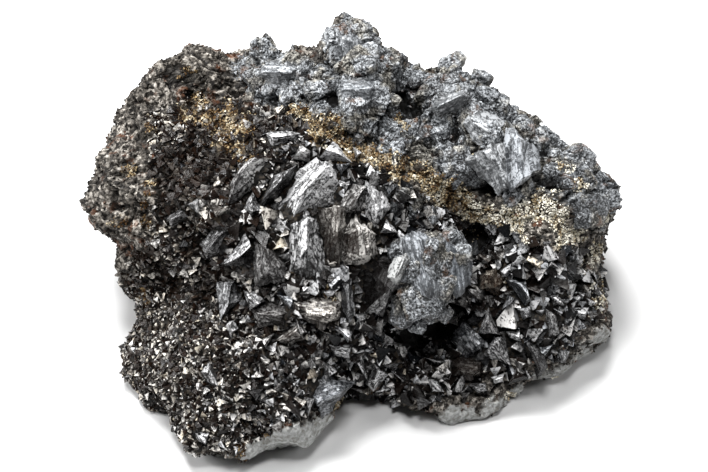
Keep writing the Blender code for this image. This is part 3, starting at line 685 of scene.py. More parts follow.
def makeCrystalMaterial(name, paint):
    # Dark adamantine faces. A face's tone frosts it toward silver, partly a frosted surface and partly painted
    # glints and highlights, broken by its pits and growth lines.
    material, tree, shader = newMaterial(name)
    look = useGroup(tree, striae, Place=attribute(tree, "facet", "Vector"))
    pits, lines, tint = look["Pits"], look["Lines"], attribute(tree, "tint")
    warm, cool = mapped(tree, tint, 0.0, 1.0), mapped(tree, tint, 0.0, -1.0)

    def tinted(plain, brown, blue):
        return mixColours(tree, cool, mixColours(tree, warm, paint[plain], paint[brown]), paint[blue])

    broken, lined = mapped(tree, pits, *frostAndGlints["pits"]), mapped(tree, lines, *frostAndGlints["lines"])
    texture = calculate(tree, "MULTIPLY", broken, lined)
    power = calculate(tree, "POWER", attribute(tree, "tone"), frostAndGlints["power"])
    frostGlint = calculate(tree, "MULTIPLY", texture, power, use_clamp=True)
    colour = mixColours(tree, frostGlint, tinted("black", "brown", "blue"), tinted("silver", "tan", "steel"))
    height = calculate(tree, "MULTIPLY_ADD", pits, frostAndGlints["relief"], lines)
    feedNamed(tree, shader, {
        # The rise attribute paints shade at the foot: low down the colour fades into the root colour.
        "Base Color": mixColours(tree, attribute(tree, "rise"), paint["root"], colour),
        "Roughness": mapped(tree, pits, *frostAndGlints["rough"], *paint["smoothness"]),
        "IOR": paint["index"], "Specular IOR Level": paint["specular"],
        "Normal": bumped(tree, *paint["bump"], height),
    })
    return material


rockMaterial, galenaMaterial = makeRockMaterial(), makeGalenaMaterial()
sideriteMaterial, crystalMaterial = makeSideriteMaterial(), makeCrystalMaterial("sphalerite", crystalPaint)
plateMaterial = makeCrystalMaterial("galena plate", platePaint)

# The rock's skin: a square grid spread over the front and rings from its edge to the back pole.
skin = {
    "squares": 230,
    "rings": 42,
    "frontEnd": math.radians(100),
    # Up to the first radius of the disc its points lie evenly over the photo's view. The second is the radius at
    # which they would reach the rim.
    "even": (0.8, 0.88),
    # Grit, galena blocks and cracks as (size, height, seed). Blocks are turned by an axis and an angle and bent by
    # waves; joints have a width and a depth, as shares of the cell and in millimetres.
    "grit": [(2.4, 0.5, 61), (1.1, 0.28, 62)],
    "blocks": (6.5, 1.5, 63),
    "blockTurn": ((0.5, 0.3, 0.8), 0.4),
    "blockBend": (4.0, 0.35, 65),
    "joints": (0.16, 1.2),
    "cracks": (5.0, 1.1, 64),
    "crackWidth": (0.02, 0.16),
    "inset": -0.8,
    # Depth of the holes, which are painted black as shade, then the depths between which sunken relief is painted
    # darker as shade, and by how much.
    "holes": 2.5,
    "hollows": (0.8, 1.8),
    "hollowShadeShare": 0.9,
    # How far the grit changes the tone, and how much darker galena is.
    "tone": (0.35, 0.1),
}


def skinDirections():
    # A square becomes a disc by the elliptical rule: each coordinate times the root of one less half the other's
    # square. The disc's radius then sets the angle from the front pole.
    count, rings = skin["squares"], skin["rings"]
    line = np.linspace(-1, 1, count + 1)
    x, y = np.meshgrid(line, line, indexing="ij")
    u, v = x * np.sqrt(1 - y**2 / 2), y * np.sqrt(1 - x**2 / 2)
    radius = np.minimum(np.hypot(u, v), 1)
    even, reach = skin["even"]
    inner = np.arcsin((np.minimum(radius, even) / reach) ** (rock["shoulder"] / 2))
    edge = math.asin((even / reach) ** (rock["shoulder"] / 2))
    polar = inner + np.clip((radius - even) / (1 - even), 0, 1) * (skin["frontEnd"] - edge)
    turn = np.arctan2(v, u)
    front = np.stack([np.sin(polar) * np.cos(turn), np.sin(polar) * np.sin(turn), np.cos(polar)], -1)
    index, quads = gridQuads(count)
    loop = np.concatenate([index[:-1, 0], index[-1, :-1], index[:0:-1, -1], index[0, :0:-1]])
    ring = front.reshape(-1, 3)[loop]
    around = np.arctan2(ring[:, 1], ring[:, 0])
    angles = skin["frontEnd"] + (math.pi - skin["frontEnd"]) * np.linspace(0, 1, rings + 2)[1:-1]
    back = np.stack([
        np.sin(angles)[:, None] * np.cos(around), np.sin(angles)[:, None] * np.sin(around),
        np.broadcast_to(np.cos(angles)[:, None], (rings, len(loop))),
    ], -1).reshape(-1, 3)
    first = (count + 1) ** 2
    rows = np.concatenate([loop[None], first + np.arange(rings * len(loop)).reshape(rings, -1)])
    ahead = np.roll(rows, -1, axis=1)
    sides = np.stack([rows[:-1], rows[1:], ahead[1:], ahead[:-1]], -1).reshape(-1, 4)
    pole = first + rings * len(loop)
    cap = np.stack([rows[-1], np.full(len(loop), pole), ahead[-1]], -1)
    directions = np.concatenate([front.reshape(-1, 3), back, [[0, 0, -1.0]]])
    return directions, quads, sides, cap


def roughen(points, normals, masks):
    # Broken relief along the normals: blocks with sunken joints on the galena, coarse and fine grit everywhere
    # but on the smooth base rim, and deep holes.
    crust, galena = masks["crust"], masks["galena"]
    size, height, seed = skin["blocks"]
    axis, angle = skin["blockTurn"]
    bendSize, bend, bendSeed = skin["blockBend"]
    turned = points @ turnsTo(np.array([axis]), np.array([angle]))[0]
    nearest, second, tag = cellFields(turned + waves(points, bendSize, bendSeed)[:, None] * bend, size, seed, np.inf)
    width, depth = skin["joints"]
    joint = smooth(second - nearest, 0.0, width)
    relief = (tag * height - (1 - joint) * depth) * (0.25 + 0.75 * galena) * (1 - 0.7 * crust)
    size, height, seed = skin["cracks"]
    nearest, second, _ = cellFields(points, size, seed)
    relief -= height * (1 - smooth(second - nearest, *skin["crackWidth"])) * (1 - 0.5 * crust)
    for size, height, seed in skin["grit"]:
        nearest, _, tag = cellFields(points, size, seed)
        relief += height * (0.55 - nearest + 0.5 * (tag - 0.5)) * (1 - 0.6 * galena)
    relief = (relief + skin["inset"]) * (1 - 0.85 * masks["rim"]) - skin["holes"] * masks["hole"]
    return points + normals * relief[:, None], relief, tag


def makeSkin():
    # The skin stands in for the matrix. Its points, normals and masks are what the other pieces are strewn by.
    directions, quads, sides, cap = skinDirections()
    smoothPoints = boulder(directions)
    quads = np.concatenate([quads, sides])
    triangles = np.concatenate([quads[:, :3], quads[:, [0, 2, 3]], cap])
    normals = pointNormals(smoothPoints, triangles)
    if (normals * outwardFan(directions)).sum() < 0:
        quads, cap, triangles, normals = quads[:, ::-1], cap[:, ::-1], triangles[:, ::-1], -normals
    masks = zoneMasks(smoothPoints, directions[:, 2])
    points, relief, tag = roughen(smoothPoints, normals, masks)
    hole = masks.pop("hole")
    # Painted shade: sunken relief darkens and the holes turn black, through the hollow mask.
    sunken = smooth(-relief, *skin["hollows"]) * skin["hollowShadeShare"]
    masks["hollow"] = np.maximum(sunken * (1 - masks["rim"]), hole)
    gritTone, galenaTone = skin["tone"]
    masks["tone"] = (tag - 0.5) * gritTone - galenaTone * masks["galena"]
    loops = np.concatenate([quads.ravel(), cap.ravel()])
    totals = np.concatenate([np.full(len(quads), 4), np.full(len(cap), 3)])
    fields = {key: ("POINT", value) for key, value in masks.items()}
    piece = newPiece("rock_skin", points, loops, totals, rockMaterial, fields)
    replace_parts(piece, "matrix")
    return {
        "points": points, "triangles": triangles, "facing": directions[:, 2],
        "normals": pointNormals(points, triangles), "hole": hole, **masks,
    }


surface = makeSkin()


def scatter(form, weights, count, rng):
    # Random places on a form's triangles, as many for each square millimetre as the weight says.
    points, triangles = form["points"], form["triangles"]
    a, b, c = (points[triangles[:, k]] for k in range(3))
    normal = np.cross(b - a, c - a)
    share = np.linalg.norm(normal, axis=1) * weights[triangles].mean(1)
    share[toRow((a + b + c) / 3)[:, 2] < 0.0006] = 0
    chosen = rng.choice(len(triangles), count, p=share / share.sum())
    u, v = rng.random((2, count, 1))
    u, v = np.where(u + v > 1, 1 - u, u), np.where(u + v > 1, 1 - v, v)
    places = a[chosen] + (b - a)[chosen] * u + (c - a)[chosen] * v
    return places, form["normals"][triangles[chosen, 0]]


def thin(places, sizes, closeness):
    # From the largest down, each kept place clears the smaller ones that stand too close.
    tree = kdtree.KDTree(len(places))
    for index, place in enumerate(places):
        tree.insert(place, index)
    tree.balance()
    kept = np.ones(len(places), bool)
    for index in np.argsort(-sizes, kind="stable"):
        if kept[index]:
            near = [other for _, other, _ in tree.find_range(places[index], sizes[index] * closeness)]
            kept[near] = False
            kept[index] = True
    return kept


def inBounds(shapes, margin):
    # Which shapes stay over the ground and in the CAD part's box.
    row = toRow(shapes)
    low, high = row.min(axis=1), row.max(axis=1)
    boxLow, boxHigh = np.array(cadBounds[0]), np.array(cadBounds[1])
    return (low > boxLow - margin).all(1) & (high < boxHigh + margin).all(1)


def repeated(template, count, corners):
    # One template's faces for every shape: loops end to end, and the count of each face.
    loops = np.concatenate([np.array(face) for face in template])
    totals = np.array([len(face) for face in template])
    offsets = np.arange(count)[:, None] * corners
    return (loops[None] + offsets).ravel(), np.tile(totals, count)


def wound(template, corners):
    # Turns each face so that its normal points away from the shape's middle.
    middle = corners.mean(0)
    fixed = []
    for face in template:
        a, b, c = corners[face[0]], corners[face[1]], corners[face[2]]
        outward = np.dot(np.cross(b - a, c - a), corners[list(face)].mean(0) - middle) > 0
        fixed.append(face if outward else face[::-1])
    return fixed


tetra = np.array([[0, 0, 1]] + [
    [math.cos(math.tau * k / 3) * math.sqrt(8) / 3, math.sin(math.tau * k / 3) * math.sqrt(8) / 3, -1 / 3]
    for k in range(3)
])
others = [[j for j in range(4) if j != i] for i in range(4)]


def cutTetrahedra(cuts):
    # A tetrahedron with its points cut off: each corner gives three points, a share of the way to the others.
    parts = [tetra[i] + (tetra[j] - tetra[i]) * cuts[:, i, None] for i in range(4) for j in others[i]]
    return np.stack(parts, 1)


def tetraFaces():
    # The faces of a cut tetrahedron: four small triangles at its points, and four hexagons.
    faces = [[3 * i, 3 * i + 1, 3 * i + 2] for i in range(4)]
    for k in range(4):
        a, b, c = others[k]
        ring = [(a, c), (a, b), (b, a), (b, c), (c, b), (c, a)]
        faces.append([3 * i + others[i].index(j) for i, j in ring])
    return wound(faces, cutTetrahedra(np.full((1, 4), 0.2))[0])


tetraTemplate = tetraFaces()


def standTetrahedra(form, places, normals, cuts, edges, lifts, rng):
    # Cut tetrahedra on a surface: stretched along each axis, their first points leaning from the normals or, for the
    # flipped share, into the rock. Gives their points in the display frame and in their own axes, and which stay in
    # the CAD part's box.
    count = len(places)
    local = cutTetrahedra(cuts) * rng.uniform(*form["stretch"], (count, 1, 3)) * edges[:, None, None]
    apex = unit(normals + rng.normal(0, form["lean"], (count, 3)))
    if form["flipped"]:
        apex *= np.where(rng.random(count) < form["flipped"], -1, 1)[:, None]
    turns = turnsTo(apex, rng.uniform(0, math.tau, count))
    middle = places + normals * lifts[:, None]
    shapes = np.einsum("kij,kvj->kvi", turns, local) + middle[:, None]
    return shapes, local, inBounds(shapes, form["margin"])


def newTetrahedra(name, shapes, local, tone, fields, material, rng):
    # One piece of cut tetrahedra, each with a place of its own in the pattern of the growth lines.
    facet = local + rng.uniform(0, 50, (len(shapes), 1, 3))
    fields = {"tone": ("FACE", tone.ravel()), "facet": ("POINT", facet.reshape(-1, 3)), **fields}
    return newPiece(name, shapes.reshape(-1, 3), *repeated(tetraTemplate, len(shapes), 12), material, fields)


# Broken galena lumps of the top ridge, as (across, up, lift, length, breadth, height, heading, squareness,
# paleness). The heading is the length's angle from across, in degrees.
galenaLumps = {
    "divisions": 19,
    "sink": 1.2,
    "ridge": [
        (-2.5, 39.2, -0.6, 7.6, 6.4, 6.0, 80, 5, 0.12), (2.9, 40.2, -0.8, 5.6, 4.6, 5.0, 10, 4, 0.08),
        (0.4, 34.3, 0.0, 8.4, 6.8, 5.5, 20, 4, 0.14), (-0.4, 27.3, 0.3, 7.4, 7.2, 5.5, 75, 5, 0.16),
        (4.7, 27.1, 0.5, 6.6, 6.4, 5.0, -10, 4, 0.12), (7.5, 26.9, 0.3, 4.6, 4.4, 4.5, 30, 3, 0.05),
        (2.5, 31.0, -0.4, 6.5, 4.6, 5.0, 15, 4, 0.06), (8.6, 35.3, -1.0, 6.4, 4.6, 5.0, 70, 4, -0.06),
        (11.6, 32.0, -0.6, 3.8, 3.6, 4.0, 80, 4, 0.12), (-15.1, 32.5, 0.2, 9.0, 6.4, 5.0, 25, 5, 0.2),
        (-12.9, 29.4, 0.4, 5.4, 4.4, 4.0, 20, 4, 0.05), (-17.6, 38.0, -0.6, 3.6, 3.6, 5.0, 60, 3, 0.2),
        (-22.2, 34.8, -1.4, 5.4, 3.8, 4.0, 10, 4, -0.1), (-20.0, 31.4, -0.8, 5.4, 5.0, 4.5, 70, 4, -0.1),
        (-7.6, 28.4, 0.2, 4.2, 3.6, 3.5, 20, 3, 0.26), (-10.2, 34.1, -1.0, 5.6, 5.4, 4.5, 0, 4, -0.12),
        (-5.9, 38.0, -1.2, 5.0, 4.2, 4.5, 10, 4, -0.1), (19.2, 33.1, -0.8, 5.4, 2.8, 4.0, 15, 6, 0.14),
        (16.9, 29.8, -0.4, 10.4, 4.0, 4.5, 10, 5, -0.08), (19.2, 26.1, 0.4, 9.4, 5.2, 4.5, 28, 6, 0.14),
        (24.3, 29.4, -0.6, 5.2, 4.6, 4.5, -20, 4, -0.04), (28.6, 26.5, -0.6, 5.6, 4.4, 4.5, -35, 4, -0.05),
        (23.9, 22.4, 0.2, 6.6, 5.8, 4.5, -50, 5, 0.1), (26.9, 19.8, 0.8, 4.8, 2.8, 4.0, 100, 4, 0.14),
        (32.6, 8.0, -0.4, 3.2, 3.0, 3.0, 0, 4, 0.06), (34.9, 22.5, -0.5, 5.2, 4.8, 4.5, 60, 3, 0.0),
        (38.2, 20.2, -0.5, 5.6, 3.8, 4.5, 80, 4, 0.10), (41.6, 15.7, -0.4, 5.6, 5.0, 4.5, -30, 4, 0.10),
        (46.3, 14.7, -0.8, 6.0, 5.8, 5.0, -60, 3, 0.12), (45.5, 4.9, -0.3, 9.4, 8.4, 5.0, -20, 3, -0.04),
        (39.2, 13.3, 0.0, 3.6, 3.4, 3.5, 50, 3, 0.06), (20.2, 13.5, -0.2, 8.4, 5.6, 4.0, 100, 6, -0.1),
        (14.5, 22.0, -0.8, 6.2, 4.2, 4.0, 10, 4, -0.1), (8.8, 5.9, -0.4, 6.8, 2.8, 4.0, 80, 6, -0.08),
        (12.2, 4.5, -0.2, 6.8, 3.0, 4.0, 94, 6, 0.0), (15.5, 4.1, -0.6, 5.2, 2.6, 4.0, 88, 6, -0.06),
    ],
    # The lobed knob over the cleft hangs forward, with its depth toward the viewer in place of the lift.
    "knob": [
        (13.2, -4.6, 16.0, 11.0, 9.6, 8.0, 80, 4, -0.02), (12.6, -11.6, 14.6, 9.4, 8.2, 8.0, 100, 4, 0.0),
        (18.6, -4.6, 14.2, 7.6, 6.2, 7.0, 80, 4, 0.04), (9.8, -14.6, 12.8, 6.4, 6.0, 6.0, 60, 3, -0.06),
        (16.2, -9.6, 14.4, 7.4, 6.6, 7.0, 60, 4, -0.04), (15.4, -14.0, 12.2, 5.6, 5.2, 5.0, 70, 3, -0.10),
        (9.0, -3.4, 15.4, 5.4, 4.4, 5.0, 100, 5, -0.08), (18.4, -1.0, 13.4, 5.4, 4.2, 6.0, 10, 4, 0.0),
        (17.6, -15.4, 12.6, 3.4, 3.0, 4.0, 30, 3, 0.08), (12.4, -17.6, 12.4, 3.2, 2.8, 4.0, 75, 3, 0.06),
        (14.4, -2.2, 19.0, 3.4, 2.6, 4.0, 60, 3, 0.10), (11.0, -11.0, 17.6, 3.4, 2.6, 4.0, 110, 3, 0.10),
    ],
    # How far the lumps' normals lean to the viewer, and how far apart their patterns lie.
    "toViewer": 0.6,
    "apart": 7.3,
    # Waves and cleavage cells as (size, height, seed), the cells' joint width, how far cells change the tone and
    # how much darker and deeper joints are.
    "swell": (5.0, 0.25, 70),
    "grit": [(2.8, 0.55, 71), (1.4, 0.22, 72), (0.7, 0.08, 73)],
    "joint": 0.16,
    "cellTone": 0.16,
    "jointTone": 0.18,
    "jointDepth": 0.3,
    "scale": 1.08,
    # Random planes that cut each lump, their distances as shares of its own reach, and how far their tones differ.
    "cuts": 11,
    "offsets": (0.72, 1.0),
    "shading": 0.22,
    "seed": 74,
}


def cubeSphere(count):
    # A grid on each side of a cube, pushed out to unit directions, with the seams' double points merged.
    line = np.tan(np.linspace(-1, 1, count + 1) * math.pi / 4)
    u, v = np.meshgrid(line, line, indexing="ij")
    one = np.ones_like(u)
    sides = [(one, u, v), (-one, v, u), (v, one, u), (u, -one, v), (u, v, one), (v, u, -one)]
    _, quads = gridQuads(count)
    points = np.concatenate([np.stack(side, -1).reshape(-1, 3) for side in sides])
    quads = np.concatenate([quads + k * (count + 1) ** 2 for k in range(6)])
    unique, back = np.unique(np.round(unit(points), 6), axis=0, return_inverse=True)
    return unit(unique), back.ravel()[quads]


def headedTurns(facing, degrees):
    # One turn for each lump: its third axis faces out and its first lies along the heading.
    angle = np.radians(degrees)
    heading = np.stack([np.cos(angle), np.sin(angle), np.zeros(len(angle))], 1)
    third = unit(facing)
    first = unit(heading - third * (heading * third).sum(1)[:, None])
    return np.stack([first, np.cross(third, first), third], -1)


def makeLumps(name, kind, material, roughness):
    # Each lump is a rounded box cut by planes. The box's reach along a direction is the root of a high power sum of
    # the direction over the half sizes, and a plane's is its distance over the cosine to its normal; the shortest
    # holds. Boxy cells of three sizes, along the lump's own axes, then step it like cleavage.
    directions, quads = cubeSphere(galenaLumps["divisions"])
    rows = np.array(galenaLumps[kind], float)
    here, normals = frontPoints(rows[:, :2])
    seated = rows[:, :3] if kind == "knob" else here + normals * (rows[:, 2:3] - galenaLumps["sink"])
    half = rows[:, None, 3:6] / 2 * galenaLumps["scale"]
    power = rows[:, None, 7]
    reach = (np.abs(directions[None] / half) ** power[..., None]).sum(-1) ** (-1 / power)
    rng = np.random.default_rng(galenaLumps["seed"])
    planes = unit(rng.normal(size=(len(rows), galenaLumps["cuts"], 3)))
    offsets = np.linalg.norm(planes * half, axis=2) * rng.uniform(*galenaLumps["offsets"], planes.shape[:2])
    cutAt = offsets[:, None] / np.maximum(directions @ planes.transpose(0, 2, 1), 1e-3)
    shades = np.take_along_axis(rng.uniform(-0.5, 0.5, offsets.shape), cutAt.argmin(-1), 1)
    tone = rows[:, 8:9] + np.where(cutAt.min(-1) < reach, shades, 0) * galenaLumps["shading"]
    reach = np.minimum(reach, cutAt.min(-1))
    local = directions[None] * reach[..., None]
    turns = headedTurns(normals + [0.0, 0.0, galenaLumps["toViewer"]], rows[:, 6])
    own = (local + rows[:, None, :3] * galenaLumps["apart"]).reshape(-1, 3)
    size, height, seed = galenaLumps["swell"]
    relief = waves(own, size, seed).reshape(len(rows), -1) * height * roughness
    for size, height, seed in galenaLumps["grit"]:
        nearest, second, tag = (f.reshape(len(rows), -1) for f in cellFields(own, size, seed, np.inf))
        gap = 1 - smooth(second - nearest, 0.0, galenaLumps["joint"])
        relief = relief + height * ((tag - 0.6) - galenaLumps["jointDepth"] * gap) * roughness
        tone = tone + (tag - 0.5) * galenaLumps["cellTone"] - galenaLumps["jointTone"] * gap
    shapes = local + directions * relief[..., None]
    points = (np.einsum("kij,kvj->kvi", turns, shapes) + seated[:, None]).reshape(-1, 3)
    faces = (quads[None] + (np.arange(len(rows)) * len(directions))[:, None, None]).reshape(-1, 4)
    piece = newPiece(
        name, points, faces.ravel(), np.full(len(faces), 4), material,
        {"tone": ("POINT", tone.ravel()), "facet": ("POINT", own)},
    )
    triangles = np.concatenate([faces[:, :3], faces[:, [0, 2, 3]]])
    return {"points": points, "triangles": triangles, "normals": pointNormals(points, triangles)}


ridge = makeLumps("galena_ridge", "ridge", galenaMaterial, 1.0)
knob = makeLumps("galena_knob", "knob", galenaMaterial, 0.9)


# Grains are cut tetrahedra pulled out of shape: the range of the cuts, of the stretch along each axis, the size of
# the tetrahedron for a grain of 1, the lean from the rock's normal, how near two may stand and how far the tones of
# a grain's faces differ.
shards = {
    "cuts": (0.12, 0.36),
    "stretch": (0.6, 1.35),
    "size": 0.64,
    "lean": 0.6,
    "flipped": 0,
    "closeness": 0.55,
    "faces": 0.06,
    # How far a grain may pass the CAD part's box, in metres.
    "margin": 0.0004,
    # Size and seed of the waves that change the siderite's tone and of those that clump it.
    "patches": (4.0, 85),
    "clumps": (1.9, 86),
    # How far the painted-shade hollows and siderite keep the other grains off.
    "hollow": 0.9,
    "siderite": 0.8,
}


def makeGrains(name, kind, material):
    # Angular shards strewn over forms and sunk by a share of their size.
    rng = np.random.default_rng(kind["seed"])
    found = [scatter(form, weights, count, rng) for form, weights, count in kind["forms"]]
    places, normals = (np.concatenate([pair[k] for pair in found]) for k in range(2))
    low, high = kind["sizes"]
    size = low + (high - low) * rng.random(len(places)) ** 2
    kept = thin(places, size, shards["closeness"])
    places, normals, size = places[kept], normals[kept], size[kept]
    cuts = rng.uniform(*shards["cuts"], (len(places), 4))
    shapes, local, inside = standTetrahedra(
        shards, places, normals, cuts, shards["size"] * size, size * (0.5 - kind["sink"]), rng
    )
    shapes, local, places = shapes[inside], local[inside], places[inside]
    count = len(shapes)
    low, high = kind["tones"]
    tone = low + (high - low) * rng.random((count, 1)) + rng.normal(0, shards["faces"], (count, 8))
    if material == sideriteMaterial:
        tone += np.interp(places[:, :1], *zip(*sideritePaint["lean"]))
        tone += sideritePaint["patch"] * waves(places, *shards["patches"])[:, None]
    piece = newTetrahedra(name, shapes, local, tone, {}, material, rng)


def strewGrains():
    # Galena shards on the bright zone and the ridge, dark ones beside it and fewer behind, siderite in clumps.
    facing, galena = surface["facing"], surface["galena"]
    bare = (1 - surface["crust"]) * (1 - surface["rim"]) * (1 - shards["hollow"] * surface["hollow"])
    bare *= 1 - shards["siderite"] * surface["siderite"]
    clumps = smooth(waves(surface["points"], *shards["clumps"]), *sideritePaint["gaps"])
    makeGrains("galena_grains", {
        "forms": [(surface, bare * galena * (facing > -0.5), 4600), (ridge, np.ones(len(ridge["points"])), 60)],
        "sizes": (0.35, 1.5), "sink": 0.6, "tones": (-0.32, 0.04), "seed": 81,
    }, galenaMaterial)
    makeGrains("dark_grains", {
        "forms": [(surface, bare * (1 - galena) * np.where(facing > -0.2, 1.0, 0.35), 20500)],
        "sizes": (0.32, 1.4), "sink": 0.6, "tones": (-0.46, 0.02), "seed": 82,
    }, rockMaterial)
    makeGrains("siderite_grains", {
        "forms": [(surface, surface["siderite"] * (facing > -0.1) * clumps, 42000)],
        "sizes": (0.18, 0.6), "sink": 0.12, "tones": (0.25, 0.8), "seed": 83,
    }, sideriteMaterial)


strewGrains()

